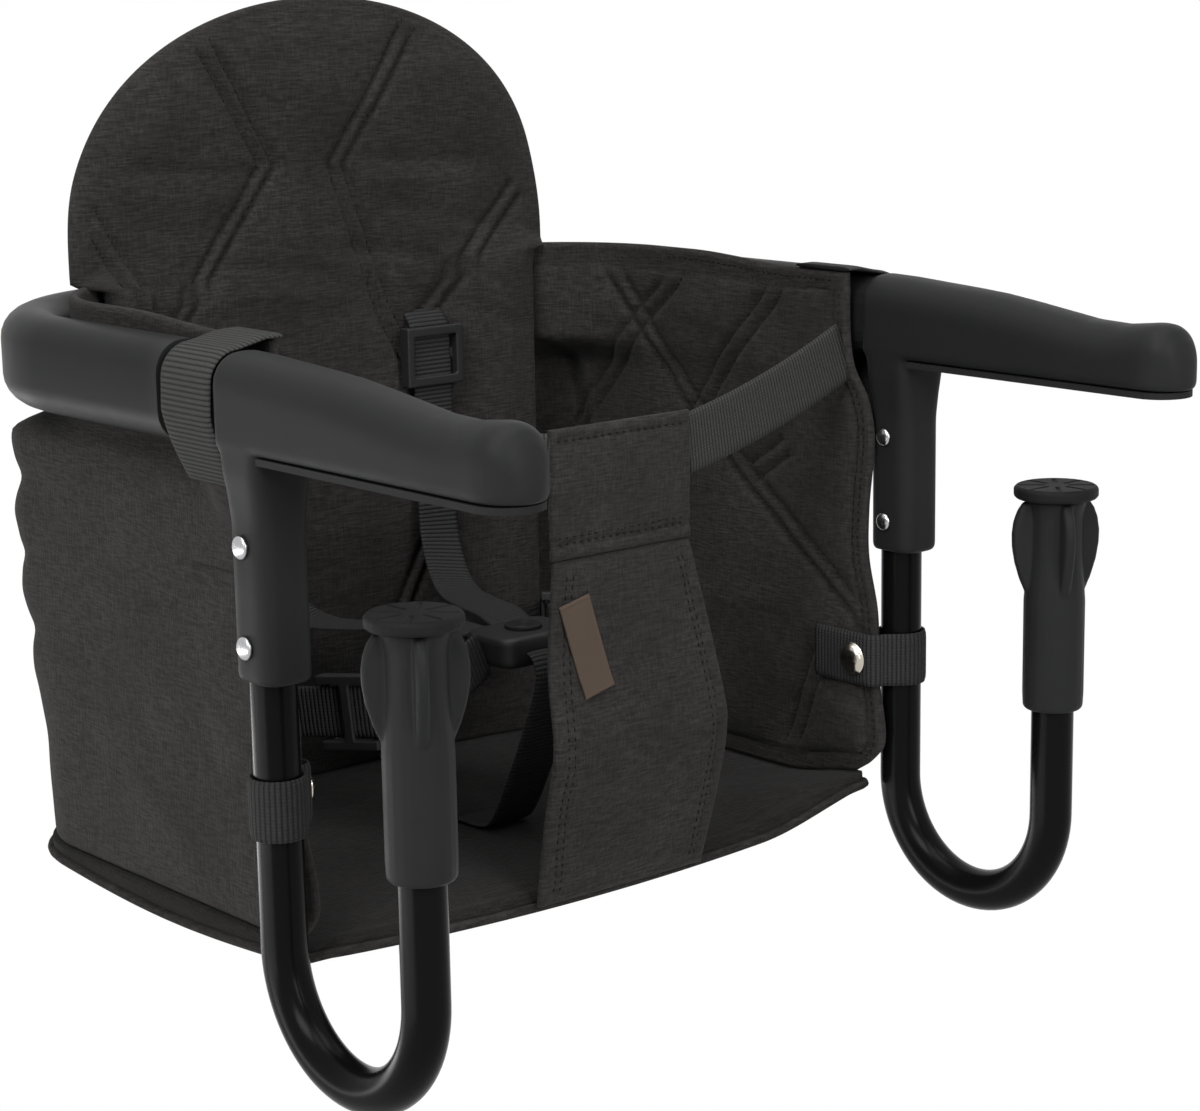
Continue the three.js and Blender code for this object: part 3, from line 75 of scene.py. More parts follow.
LOOP_Z, LOOP_WIDTH, STRAP_WIDTH, TOP_STRAP_WIDTH, WEBBING_T = -140.0, 25.0, 29.0, 35.0, 2.0
REAR_STRAP_X, BELT_WIDTH, BELT_T, CROTCH_STRAP_WIDTH = 60.0, 27.0, 1.8, 25.0
HARNESS_WIDTH, HARNESS_T, BUCKLE_Y, BUCKLE_HALF, BUCKLE_TOP = 23.0, 1.6, 64.5, 17, -108.2
RIVET_HEIGHTS = {"upper": -34.0, "lower": -74.0}

# Sewing and straps, in mm
STITCH_LENGTH, STITCH_GAP, STITCH_WIDTH, STITCH_LIFT = 2.7, 1.3, 0.42, 0.28
SEAM_SPACING, WALL_HEMS, CROTCH_HEMS = 8.5, (4.5, 8.5), (7, 10)
STRAP_GAP, STRAP_STEP, HARNESS_STEP, LOOP_TAIL = 0.4, 1.6, 2.5, 36.0

# Points across the back wall, its nominal run in mm, and points round the piping
BACK_COLUMNS, BACK_RUN, PIPING_SIDES = 340, 560.0, 10

# Finishes, as linear colours
CLOTH_DARK, CLOTH_LIGHT = (0.0135, 0.0125, 0.0121, 1), (0.046, 0.0425, 0.0405, 1)
WEB_DARK, WEB_LIGHT = (0.009, 0.009, 0.0092, 1), (0.037, 0.037, 0.0375, 1)
MOULDING, MOULDING_EDGE = (0.0145, 0.0147, 0.015, 1), (0.03, 0.0303, 0.031, 1)
WHITE, PALE = (1, 1, 1, 1), (0.9, 0.9, 0.9, 1)

# Thread directions of the cloth: fine across the thread, long along it
WEFT, WARP = (150, 150, 1000), (1000, 1000, 170)
FLAT_WEFT, FLAT_WARP = (150, 1000, 1000), (1000, 170, 1000)


# Small maths

def eased(t):
    t = np.clip(t, 0, 1)
    return t * t * (3 - 2 * t)


def ridge(place, centre, width):
    """1 at a centre, falling off smoothly to both sides over a width."""
    return np.exp(-((place - centre) / width) ** 2)


def through(table, at):
    """Smooth curve through (place, value) pairs, as the solids use it."""
    xs, ys = np.array(table, float).T
    at = np.clip(np.asarray(at, float), xs[0], xs[-1])
    i = np.clip(np.searchsorted(xs, at) - 1, 0, len(xs) - 2)
    low, high = np.maximum(np.arange(len(xs)) - 1, 0), np.minimum(np.arange(len(xs)) + 1, len(xs) - 1)
    slope = (ys[high] - ys[low]) / (xs[high] - xs[low])
    span = xs[i + 1] - xs[i]
    f = (at - xs[i]) / span
    return ((2 * f**3 - 3 * f**2 + 1) * ys[i] + (f**3 - 2 * f**2 + f) * span * slope[i]
            + (3 * f**2 - 2 * f**3) * ys[i + 1] + (f**3 - f**2) * span * slope[i + 1])


def bulge(z):
    """0 along the rail, 1 where the walls have flared out below it."""
    return eased((-0.5 - np.asarray(z, float)) / 17)


def fine_edges(low, high, step, rim=9.0):
    """Stations from low to high, closer together near both ends so that a rim rounds."""
    near = rim * (1 - np.cos(np.linspace(0, math.pi / 2, 7)))
    middle = np.linspace(low + rim, high - rim, max(2, int((high - low - 2 * rim) / step)))
    return np.concatenate([low + near[:-1], middle, (high - near[:-1])[::-1]])


def rounded_rim(distance, radius):
    """Share of full thickness at a distance in from an edge."""
    t = np.clip(distance / radius, 0, 1)
    return 0.22 + 0.78 * np.sqrt(1 - (1 - t) ** 2)


def distance_to(p, q, line):
    """Distance from every point (p, q) to a bent line."""
    best = np.full(np.shape(p), 1e9)
    for (a, b), (c, d) in zip(line[:-1], line[1:]):
        run = np.array([c - a, d - b], float)
        t = np.clip(((p - a) * run[0] + (q - b) * run[1]) / (run @ run), 0, 1)
        best = np.minimum(best, np.hypot(p - a - t * run[0], q - b - t * run[1]))
    return best


def quilt(p, q, lines, puff, depth):
    """Raised wadding with a narrow groove along each sewn line."""
    nearest = np.minimum.reduce([distance_to(p, q, line) for line in lines])
    swell = 0.75 * (1 - ridge(nearest, 0, 12)) + 0.25 * (1 - ridge(nearest, 0, 3))
    return puff * swell - depth * ridge(nearest, 0, 1.6)


def creases(p, q, folds):
    """Soft folds: each is (start, end, width, height)."""
    return sum(height * ridge(distance_to(p, q, [start, end]), 0, width) for start, end, width, height in folds)


def slack(p, q, seed, size, height):
    """Gentle unevenness of hanging cloth, the same on every run."""
    draw = np.random.default_rng(seed)
    total = np.zeros(np.shape(p))
    for _ in range(9):
        angle, phase, pitch = draw.uniform(0, math.pi), draw.uniform(0, 6.3), size * draw.uniform(0.6, 1.6)
        total += np.sin((p * math.cos(angle) + q * math.sin(angle)) * 2 * math.pi / pitch + phase)
    return total * height / 4


# Lines

def spots(x, y, z):
    """Points from their three places, any of which may be one number."""
    return np.stack(np.broadcast_arrays(x, y, z), -1)


def unit(vectors):
    return vectors / np.linalg.norm(vectors, axis=-1, keepdims=True)


def run_lengths(line):
    """Length along a bent line up to each of its points."""
    return np.concatenate([[0], np.cumsum(np.linalg.norm(np.diff(line, axis=0), axis=1))])


def evenly(line, count, endpoint=True):
    """A number of evenly spaced points along a bent line."""
    line = np.asarray(line, float)
    lengths = run_lengths(line)
    at = np.linspace(0, lengths[-1], count, endpoint=endpoint)
    return np.stack([np.interp(at, lengths, line[:, k]) for k in range(line.shape[1])], 1)


def sampled(line, step=3.0):
    """Points along a bent line, about a step apart."""
    return evenly(line, max(2, int(run_lengths(np.asarray(line, float))[-1] / step)))


def beside(line, offset):
    """The same bent line shifted sideways, for the second row of a double seam."""
    line = np.asarray(line, float)
    run = unit(np.gradient(line, axis=0))
    return [tuple(p) for p in line + offset * np.stack([-run[:, 1], run[:, 0]], 1)]


def doubled(lines):
    return [list(map(tuple, line)) for line in lines] + [beside(line, SEAM_SPACING) for line in lines]


def cornered(line):
    """Rounds the corners of a bent line and keeps its ends."""
    line = np.asarray(line, float)
    for _ in range(2):
        cut = [line[0]]
        for a, b in zip(line[:-1], line[1:]):
            cut += [a * 0.75 + b * 0.25, a * 0.25 + b * 0.75]
        line = np.array(cut + [line[-1]])
    return line


def bend(a, b, c, steps):
    """Points of a smooth turn from a to c, drawn towards b."""
    t = np.linspace(0, 1, steps)[:, None]
    return list((1 - t) ** 2 * np.array(a) + 2 * t * (1 - t) * np.array(b) + t**2 * np.array(c))


def arc(centre, radius, start, end, count):
    """Points of a circle between two bearings in degrees."""
    return [(centre[0] + radius * math.cos(a), centre[1] + radius * math.sin(a))
            for a in np.radians(np.linspace(start, end, count))]


def circle(radius, count):
    return arc((0, 0), radius, 0, 360, count + 1)[:-1]


def rounded_box(width, height, radius):
    section = []
    for x, y, start in ((1, -1, -90), (1, 1, 0), (-1, 1, 90), (-1, -1, 180)):
        section += arc((x * (width / 2 - radius), y * (height / 2 - radius)), radius, start, start + 90, 7)
    return section


# Node groups and materials; a tree is found through the socket that is worked on

def node(tree, kind, links=(), **settings):
    """Adds a node; links are (input, socket or value) pairs, and settings are properties or input values."""
    made = tree.nodes.new(kind)
    for key, value in settings.items():
        if hasattr(made, key):
            setattr(made, key, value)
        else:
            made.inputs[key.replace("_", " ")].default_value = value
    for target, source in links:
        if isinstance(source, bpy.types.NodeSocket):
            tree.links.new(source, made.inputs[target])
        else:
            made.inputs[target].default_value = source
    return made


def reckon(operation, a, b=0.0, clamp=False):
    return node(a.id_data, "ShaderNodeMath", [(0, a), (1, b)], operation=operation, use_clamp=clamp).outputs[0]


def plus(a, b, clamp=False):
    return reckon("ADD", a, b, clamp)


def times(a, b, clamp=False):
    return reckon("MULTIPLY", a, b, clamp)


def centred(noise, strength):
    """Noise about nought, at a strength."""
    return times(reckon("SUBTRACT", noise, 0.5), strength)


def waves(turns):
    return reckon("ABSOLUTE", reckon("SINE", turns))


def mixed(share, a, b):
    return node(share.id_data, "ShaderNodeMix", [(0, share), (6, a), (7, b)], data_type="RGBA").outputs[2]


def streaks(place, scale, detail=2.0):
    """Noise drawn out by a scale, which is one number or a socket."""
    stretch = (scale,) * 3 if isinstance(scale, int) else scale
    mapping = node(place.id_data, "ShaderNodeMapping", [("Vector", place), ("Scale", stretch)])
    links = [("Vector", mapping.outputs[0])]
    return node(place.id_data, "ShaderNodeTexNoise", links, Scale=1.0, Detail=detail).outputs[0]


def ranged(value, low, high):
    return node(value.id_data, "ShaderNodeMapRange", [("Value", value)], From_Min=low, From_Max=high).outputs[0]


def new_group(name, inputs, outputs):
    """A group with its sockets; an input's kind follows from its value, and outputs other than Color are floats."""
    group = bpy.data.node_groups.new(name, "ShaderNodeTree")
    for label, value in inputs.items():
        kind = {4: "Color", 3: "Vector"}[len(value)] if isinstance(value, tuple) else "Float"
        socket = group.interface.new_socket(name=label, in_out="INPUT", socket_type="NodeSocket" + kind)
        socket.default_value = value
    for label in outputs:
        kind = "Color" if label == "Color" else "Float"
        group.interface.new_socket(name=label, in_out="OUTPUT", socket_type="NodeSocket" + kind)
    places = node(group, "ShaderNodeTexCoord").outputs
    return group, node(group, "NodeGroupInput").outputs, places, node(group, "NodeGroupOutput").inputs


def melange_group():
    """Melange plain weave: slubby light and dark threads both ways, with broad shading."""
    tree, given, places, out = new_group(
        "melange_weave", {"Dark": CLOTH_DARK, "Light": CLOTH_LIGHT, "Weft": WEFT, "Warp": WARP}, ("Color", "Height"))
    place = places["Object"]
    weft = ranged(streaks(place, given["Weft"]), 0.34, 0.74)
    warp = ranged(streaks(place, given["Warp"]), 0.38, 0.78)
    threads = plus(times(weft, 0.62), times(warp, 0.45))
    broad, fine = ranged(streaks(place, 26, 3), 0.3, 0.7), streaks(place, 2900, 1)
    share = plus(times(threads, plus(times(broad, 0.45), 0.55)), centred(fine, 0.3), True)
    tree.links.new(mixed(share, given["Dark"], given["Light"]), out["Color"])
    tree.links.new(plus(threads, times(fine, 0.6)), out["Height"])
    return tree


def webbing_group():
    """Ribbed webbing: ribs across the strap, cords along it, worn light on the crests; UV is in mm."""
    tree, given, places, out = new_group(
        "ribbed_webbing", {"Dark": WEB_DARK, "Light": WEB_LIGHT, "Pitch": 2.1}, ("Color", "Height"))
    parts = node(tree, "ShaderNodeSeparateXYZ", [(0, places["UV"])]).outputs
    rib = waves(times(reckon("DIVIDE", parts[1], given["Pitch"]), math.pi))
    cord = waves(times(parts[0], 2.2))
    grain = streaks(places["Object"], 3000)
    crest = times(reckon("POWER", rib, 0.7), plus(times(cord, 0.3), 0.7))
    share = times(crest, plus(times(grain, 0.7), 0.45), True)
    tree.links.new(mixed(share, given["Dark"], given["Light"]), out["Color"])
    tree.links.new(plus(crest, times(grain, 0.3)), out["Height"])
    return tree


def grain_group():
    """Spark-eroded moulding grain, with rubbed edges and faint handling marks."""
    tree, given, places, out = new_group(
        "moulded_grain", {"Body": MOULDING, "Edge": MOULDING_EDGE, "Gloss": 0.42}, ("Color", "Roughness", "Height"))
    pits, marks = streaks(places["Object"], 2600, 3), streaks(places["Object"], 45, 5)
    rubbed = ranged(node(tree, "ShaderNodeNewGeometry").outputs["Pointiness"], 0.52, 0.62)
    share = plus(times(rubbed, 0.7), centred(marks, 0.25), True)
    rough = plus(given["Gloss"], centred(marks, 0.18))
    tree.links.new(mixed(share, given["Body"], given["Edge"]), out["Color"])
    tree.links.new(plus(rough, times(pits, 0.06)), out["Roughness"])
    tree.links.new(pits, out["Height"])
    return tree


GROUPS = {"weave": melange_group(), "webbing": webbing_group(), "grain": grain_group()}


def finish_from(name, group, bump, distance, values, **shader):
    """A material fed by one of the groups; shader holds plain values for the shader's own sockets."""
    material = bpy.data.materials.new(name)
    material.use_nodes = True
    tree = material.node_tree
    surface = tree.nodes["Principled BSDF"].inputs
    for key, value in shader.items():
        surface[key.replace("_", " ")].default_value = value
    effect = node(tree, "ShaderNodeGroup", values.items(), node_tree=GROUPS[group]).outputs
    tree.links.new(effect["Color"], surface["Base Color"])
    if "Roughness" in effect:
        tree.links.new(effect["Roughness"], surface["Roughness"])
    raised = node(tree, "ShaderNodeBump", [("Height", effect["Height"])], Strength=bump, Distance=distance)
    tree.links.new(raised.outputs[0], surface["Normal"])
    return material


def woven(name, **values):
    return finish_from(name, "weave", 0.6, 0.0007, values, Roughness=0.95, Specular_IOR_Level=0.1,
                       Sheen_Weight=0.03, Sheen_Roughness=0.5)


def ribbed(name, **values):
    return finish_from(name, "webbing", 0.8, 0.0008, values, Roughness=0.8, Specular_IOR_Level=0.1)


def grained(name, body, edge, gloss, bump=0.25, specular=0.5, metallic=0.0):
    values = {"Body": (*body, 1), "Edge": (*edge, 1), "Gloss": gloss}
    return finish_from(name, "grain", bump, 0.0003, values, Specular_IOR_Level=specular, Metallic=metallic)


# Every finish with its slot
FINISH = {
    "cloth": ("fabric", woven("charcoal_melange")),
    # The seat floor's cloth is the walls' melange laid flat. Its darker colours are painted shade, standing in for the
    # shadow that falls inside the seat.
    "flat_cloth_painted_shade": ("fabric", woven("charcoal_melange_flat_painted_shade", Weft=FLAT_WEFT, Warp=FLAT_WARP,
                                   Dark=(0.0068, 0.0063, 0.0061, 1), Light=(0.024, 0.0222, 0.0212, 1))),
    "lining": ("fabric", finish_from("dark_melange", "weave", 0.5, 0.0006, {"Light": (0.045, 0.042, 0.041, 1)},
                                     Roughness=0.95, Specular_IOR_Level=0.08)),
    "thread": ("fabric", grained("sewing_thread", (0.0035, 0.0033, 0.0033), (0.009, 0.0087, 0.0085), 0.8, 0.25, 0.1)),
    "strap": ("webbing", ribbed("ribbed_strap_pale", Light=(0.062, 0.062, 0.06, 1))),
    "webbing": ("webbing", ribbed("ribbed_strap")),
    "moulding": ("arm_plastic", grained("arm_moulding", MOULDING[:3], MOULDING_EDGE[:3], 0.46, 0.25, 0.07)),
    "cover": ("rail_cover", grained("rail_cover_satin", (0.0125, 0.0127, 0.013), (0.028, 0.0283, 0.029),
                                    0.4, 0.15, 0.05)),
    "rubber": ("grip_rubber", grained("pad_rubber", (0.0075, 0.0075, 0.0078), (0.02, 0.02, 0.0205), 0.62, 0.25, 0.1)),
    "collar": ("collar", grained("collar_rubber", (0.006, 0.006, 0.0063), (0.016, 0.016, 0.0165), 0.6, 0.25, 0.1)),
    "tube": ("black_tube", grained("gloss_black_tube", (0.0035, 0.0035, 0.0037), (0.007, 0.007, 0.0073),
                                   0.2, 0.05, 0.05)),
    # A shade lighter than the arm moulding: painted light for the light that falls on the harness adjusters and buckle.
    "buckle": ("buckle", grained("buckle_moulding_painted_light", (0.016, 0.016, 0.0165), (0.036, 0.036, 0.037), 0.42, 0.25, 0.18)),
    "steel": ("steel", grained("bright_rivet", (0.42, 0.42, 0.43), (0.66, 0.66, 0.67), 0.24, 0.1, metallic=1.0)),
    "nickel": ("nickel", grained("nickel_snap", (0.5, 0.46, 0.4), (0.72, 0.68, 0.62), 0.2, 0.08, metallic=1.0)),
    "brass": ("brass", grained("turned_brass", (0.45, 0.31, 0.12), (0.6, 0.45, 0.2), 0.35, 0.1, metallic=1.0)),
    "leather": ("leather", grained("bare_leather", (0.062, 0.044, 0.032), (0.115, 0.085, 0.062), 0.7, 0.6, 0.2)),
    "board": ("board", grained("hardboard", (0.13, 0.085, 0.05), (0.2, 0.14, 0.09), 0.8, 0.4)),
}


# Pieces; a skin is its points in mm and its faces

def mesh_from(name, skin):
    points, faces = skin
    mesh = bpy.data.meshes.new(name)
    mesh.from_pydata((np.asarray(points, float) * MM).tolist(), [], [list(map(int, f)) for f in faces])
    return mesh


def add_piece(name, skin, finish, body="seat", stands_for=(), uv=None, sharp=None):
    """Links a skin, with its finish, body and the solids it stands for."""
    mesh = mesh_from(name, skin)
    mesh.validate()
    mesh.shade_smooth()
    if sharp:
        mesh.set_sharp_from_angle(angle=math.radians(sharp))
    if uv is not None:
        layer = mesh.uv_layers.new(name="strap_mm")
        corners = np.zeros(len(mesh.loops), int)
        mesh.loops.foreach_get("vertex_index", corners)
        layer.uv.foreach_set("vector", np.asarray(uv, np.float32)[corners].ravel())
    return place_piece(bpy.data.objects.new(name, mesh), finish, body, stands_for)


def place_piece(obj, finish, body, stands_for=()):
    slot, material = FINISH[finish]
    SCENE.collection.objects.link(obj)
    obj.data.materials.clear()
    obj.data.materials.append(material)
    if stands_for:
        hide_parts(*stands_for)
    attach(obj, body)
    return obj


def grid_faces(rows, columns, first=0, flip=False, closed=False):
    faces = []
    for j in range(rows - 1):
        for i in range(columns if closed else columns - 1):
            k = (i + 1) % columns
            a, b, c, d = (first + j * columns + i, first + j * columns + k,
                          first + (j + 1) * columns + k, first + (j + 1) * columns + i)
            faces.append((d, c, b, a) if flip else (a, b, c, d))
    return faces


def slab(front, back):
    """Closed cloth between two grids of points."""
    rows, columns = front.shape[:2]
    half = rows * columns
    faces = grid_faces(rows, columns) + grid_faces(rows, columns, half, True)
    rim = list(range(columns - 1)) + [j * columns + columns - 1 for j in range(rows - 1)]
    rim += [(rows - 1) * columns + i for i in range(columns - 1, 0, -1)] + [j * columns for j in range(rows - 1, 0, -1)]
    for p, q in zip(rim, rim[1:] + rim[:1]):
        faces.append((q, p, half + p, half + q))
    return outward(np.concatenate([front.reshape(-1, 3), back.reshape(-1, 3)]), faces)


def outward(points, faces):
    """Turns all faces round if the closed skin came out inside out."""
    corners = np.array([(f[0], f[k], f[k + 1]) for f in faces for k in range(1, len(f) - 1)])
    a, b, c = (points[corners[:, k]] for k in range(3))
    inside_out = np.einsum("ij,ij->", a, np.cross(b, c)) < 0
    return points, ([tuple(reversed(f)) for f in faces] if inside_out else faces)


def rings_skin(rings):
    """Closed skin through rings of equal length, with flat ends."""
    rings = np.asarray(rings, float)
    count, size = rings.shape[:2]
    faces = grid_faces(count, size, closed=True)
    faces += [tuple(range(size - 1, -1, -1)), tuple(range((count - 1) * size, count * size))]
    return outward(rings.reshape(-1, 3), faces)


def stitches(name, runs):
    """Sewing thread along runs of (points, normal): short raised stitches with gaps between."""
    points, faces = [], []
    for path, normal in runs:
        path, normal = np.asarray(path, float), np.array(normal, float)
        steps = run_lengths(path)
        for begin in np.arange(0.5, steps[-1] - STITCH_LENGTH, STITCH_LENGTH + STITCH_GAP):
            start, end = (np.array([np.interp(s, steps, path[:, k]) for k in range(3)])
                          for s in (begin, begin + STITCH_LENGTH))
            across = np.cross(normal, end - start)
            across *= STITCH_WIDTH / max(np.linalg.norm(across), 1e-9)
            middle, rise = (start + end) / 2 + normal * STITCH_LIFT, normal * STITCH_WIDTH
            first = len(points)
            points += [start, end, middle + across, middle + rise, middle - across, middle - rise]
            for k in range(4):
                here, following = first + 2 + k, first + 2 + (k + 1) % 4
                faces += [(first, following, here), (first + 1, here, following)]
    return add_piece(name, (points, faces), "thread")


def seam_runs(lines, inside, placed):
    """Runs for stitches along doubled seams where they are inside the cloth; placed lays them on its face."""
    ways = [sampled(line) for line in doubled(lines)]
    return [placed(way[inside(way)]) for way in ways if inside(way).sum() > 3]


def webbing(name, path, across, width, thickness, solid, finish="webbing"):
    """Flat strap along points in space, with softly rounded edges and UV in mm."""
    path = np.asarray(path, float)
    across = np.broadcast_to(np.asarray(across, float), path.shape)
    along = unit(np.gradient(path, axis=0))
    wide = unit(across - along * np.sum(across * along, axis=1)[:, None])
    thick = np.cross(along, wide)
    top = [(w, 1 - 0.65 * abs(w) ** 10) for w in np.linspace(-1, 1, 13)]
    section = top + [(w, -t) for w, t in reversed(top)]
    rings = np.stack([path + wide * (w * width / 2) + thick * (t * thickness / 2) for w, t in section], 1)
    lengths = run_lengths(path)
    uv = np.stack(np.broadcast_arrays(np.array([w * width / 2 for w, _ in section])[None], lengths[:, None]), -1)
    obj = add_piece(name, rings_skin(rings), finish, stands_for=(solid,), uv=uv.reshape(-1, 2))


def softened(name, voxel, rounds, finish, body, added=None):
    """A moulding made from its solid: fine even mesh, corners rounded as from a mould; added is a skin to take in."""
    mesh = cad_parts[name].data.copy()
    if added:
        extra = mesh_from("extra", added)
        both = bmesh.new()
        both.from_mesh(mesh)
        both.from_mesh(extra)
        both.to_mesh(mesh)
        both.free()
        bpy.data.meshes.remove(extra)
    rough = bpy.data.objects.new(name + "_rough", mesh)
    SCENE.collection.objects.link(rough)
    even = rough.modifiers.new("even", "REMESH")
    even.mode, even.voxel_size, even.use_smooth_shade = "VOXEL", voxel * MM, True
    ease = rough.modifiers.new("ease", "SMOOTH")
    ease.factor, ease.iterations = 0.5, rounds
    graph = bpy.context.evaluated_depsgraph_get()
    mesh = bpy.data.meshes.new_from_object(rough.evaluated_get(graph))
    bpy.data.objects.remove(rough)
    mesh.shade_smooth()
    place_piece(bpy.data.objects.new(name + "_moulded", mesh), finish, body, (name,))


def swept(path, section, upright):
    """Rings of a section carried along a path; section is (sideways, upward) pairs."""
    path = np.asarray(path, float)
    along = unit(np.gradient(path, axis=0))
    side = unit(np.cross(along, np.broadcast_to(np.asarray(upright, float), path.shape)))
    up = np.cross(side, along)
    return np.stack([path + side * s + up * u for s, u in section], 1)


def turned(profile, count, axis, centre):
    """Revolves (radius, height) pairs about an axis through centre."""
    turn = Vector((0, 0, 1)).rotation_difference(Vector(axis)).to_matrix()
    rings = [[np.array(turn @ Vector((x, y, height))) + np.array(centre) for x, y in circle(radius, count)]
             for radius, height in profile]
    return rings_skin(rings)


# Frame: hooked legs, rail cover, mouldings and rivets

BRACKET_DEPTH, BRACKET_BACK = 27, 1.5
# Flared root of the leg bracket: height, width, corner
BRACKET_ROOT = ((-30, 23, 8), (-22, 24.4, 7.6), (-14, 26, 7), (-6, 28.2, 6), (6, 29.6, 5))
COVER_LIP = 0.9


def hook_path(side):
    radius = HOOK_REACH / 2
    down = [(0, z) for z in np.linspace(HOOK_TOP, HOOK_BEND_Z, 24)]
    turn = arc((-radius, HOOK_BEND_Z), radius, 0, -180, 45)[1:]
    rise = [(-HOOK_REACH, z) for z in np.linspace(HOOK_BEND_Z, POST_TOP, 14)[1:]]
    return [(side * LEG_X, y, z) for y, z in down + turn + rise]


def rail_path(front):
    x, y = LEG_X - RAIL_CORNER, RAIL_REAR - RAIL_CORNER
    path = [(-LEG_X, v) for v in np.linspace(front, y, 16)[:-1]]
    path += arc((-x, y), RAIL_CORNER, 180, 90, 31) + arc((x, y), RAIL_CORNER, 90, 0, 31)
    path += [(LEG_X, v) for v in np.linspace(y, front, 16)[1:]]
    return [(*place, RAIL_Z) for place in path]


def rivet_profile():
    """(radius, height) pairs from the small tail to the domed head."""
    rise = np.linspace(0, math.pi / 2, 9)[:-1]
    tail = [(4.1 * math.cos(a), -12.6 - 1.7 * math.sin(a)) for a in rise[::-1]]
    shank = [(3.9, -12.3), (2.4, -12.2), (2.4, 12.2), (4.4, 12.3), (4.75, 12.5)]
    head = [(4.75 * math.cos(a), 12.8 + 1.9 * math.sin(a)) for a in rise]
    return [(0.4, -14.3)] + tail + shank + head + [(0.4, 14.7)]


def add_frame():
    cover = swept(rail_path(COVER_FRONT), rounded_box(COVER_THICKNESS, COVER_HEIGHT, COVER_EDGE), (0, 0, 1))
    first, last = (ring.mean(0) + (ring - ring.mean(0)) * COVER_LIP for ring in (cover[0], cover[-1]))
    cover = rings_skin(np.concatenate([[first], cover, [last]]))
    add_piece("rail_cover_moulded", cover, "cover", stands_for=("rail_cover",), sharp=50)
    for label, side in SIDES.items():
        arm = f"{label}_arm"
        tube = rings_skin(swept(hook_path(side), circle(TUBE_RADIUS, 36), (1, 0, 0)))
        add_piece(f"{label}_hook_tube_bent", tube, "tube", arm, (f"{label}_hook_tube",), sharp=50)
        root = [[(side * LEG_X + x, y - BRACKET_BACK, z) for x, y in rounded_box(width, BRACKET_DEPTH, corner)]
                for z, width, corner in BRACKET_ROOT]
        softened(f"{label}_arm_shell", 0.9, 24, "moulding", arm, rings_skin(root))
        softened(f"{label}_clamp_grip", 0.7, 8, "moulding", f"{label}_clamp_knob")
        softened(f"{label}_clamp_pad", 0.5, 3, "rubber", f"{label}_clamp_foot")
        for place, z in RIVET_HEIGHTS.items():
            rivet = turned(rivet_profile(), 28, (side, 0, 0), (side * LEG_X, 0, z))
            add_piece(f"{label}_rivet_{place}_domed", rivet, "steel", arm, (f"{label}_rivet_{place}",), sharp=40)


# Seat cloth: sewn lines, then folds as (start, end, width, height), then rucks as (level, width, height)

BACKREST_SEAMS = [[(-73, 155), (-36, 94), (-93, 21), (-50, -58), (-93, -137)],
                  [(48, 160), (3, 93), (28, 19), (72, -58), (28, -137)],
                  [(-131, 76), (-104, 26)], [(112, 76), (51, 17)]]
WALL_SEAMS = [[(176, 37), (156, 9), (123, -29), (87, -57), (12, -113), (3, -122)],
              [(122, 37), (156, 9), (200, -40), (225, -75)], [(55, 36), (66, 23), (103, -14), (150, -75)],
              [(87, -57), (64, -42)], [(35, -146), (58, -204)]]
BACK_FOLDS = [((216, 30), (203, -50), 5, 1.8), ((225, 10), (212, -55), 4, -1.5)]
WALL_FOLDS = [((20, -20), (70, -14), 5, 0.8), ((90, 8), (140, 20), 6, 0.9), ((28, -70), (60, -64), 5, -0.8),
              ((60, -120), (120, -128), 8, 0.9), ((20, -170), (60, -160), 6, 0.7), ((100, -60), (140, -50), 7, -0.8)]
OUTER_FOLDS = [((30, -28), (140, -60), 6, 1.5), ((24, -44), (110, -78), 7, -1.1), ((30, -12), (90, -24), 5, 1.2),
               ((10, -150), (60, -120), 9, 0.9), ((90, -180), (146, -150), 10, 1.0), ((20, -195), (120, -188), 7, 0.7),
               ((60, -90), (146, -112), 10, 1.2), ((40, -110), (120, -136), 8, -0.9)]
PAD_FOLDS = [((-104, 96), (-38, 91), 4, -1.1), ((-112, 86), (-50, 80), 6, 1.0), ((-100, 70), (-62, 64), 5, -0.7),
             ((22, 94), (86, 90), 4, -1.1), ((24, 84), (92, 78), 6, 1.0), ((40, 70), (96, 58), 4, -0.9),
             ((14, 52), (62, 44), 4, -1.2), ((6, 44), (60, 34), 5, 1.0), ((-56, 48), (8, 40), 4, -1.0),
             ((-80, 40), (0, 30), 5, 1.1), ((-118, 36), (-60, 30), 5, 1.0), ((118, 40), (70, 46), 5, 1.0),
             ((60, 130), (100, 100), 10, 0.8), ((-100, 110), (-70, 120), 9, 0.7), ((-30, 130), (30, 122), 9, 0.6),
             ((-90, -10), (60, -18), 8, 0.8), ((-70, -90), (80, -84), 9, 0.8), ((70, 24), (112, 6), 5, -1.0)]
FRONT_FOLDS = [((-30, -66), (-10, -80), 4, 0.7), ((36, -70), (20, -90), 5, 0.7), ((-44, -150), (-20, -165), 6, 0.8),
               ((46, -140), (26, -150), 5, 0.8), ((-40, -200), (40, -203), 4, 0.5)]
CORNER_RUCKS = [(-22, 9, 1.6), (-40, 6, -2.6), (-56, 8, 1.8), (-75, 5, -1.8), (-92, 8, 1.5), (-110, 6, -2.2),
                (-128, 9, 1.2), (-160, 12, -1.2)]
CORNER_PLACE, CORNER_REACH, CORNER_SLANT = 105, 42, 0.12


def pad_step(z):
    """0 above the rail, 1 where the pad's edges tuck in between the walls."""
    return eased((45.5 - z) / 3.2)


def pad_wing(z, across):
    """How far the pad has come forward towards its edges, to clear the rounded corners of the seat."""
    gradual = 18 * (1 - across**6)
    return eased((45.8 + gradual - z) / (3.4 + gradual))


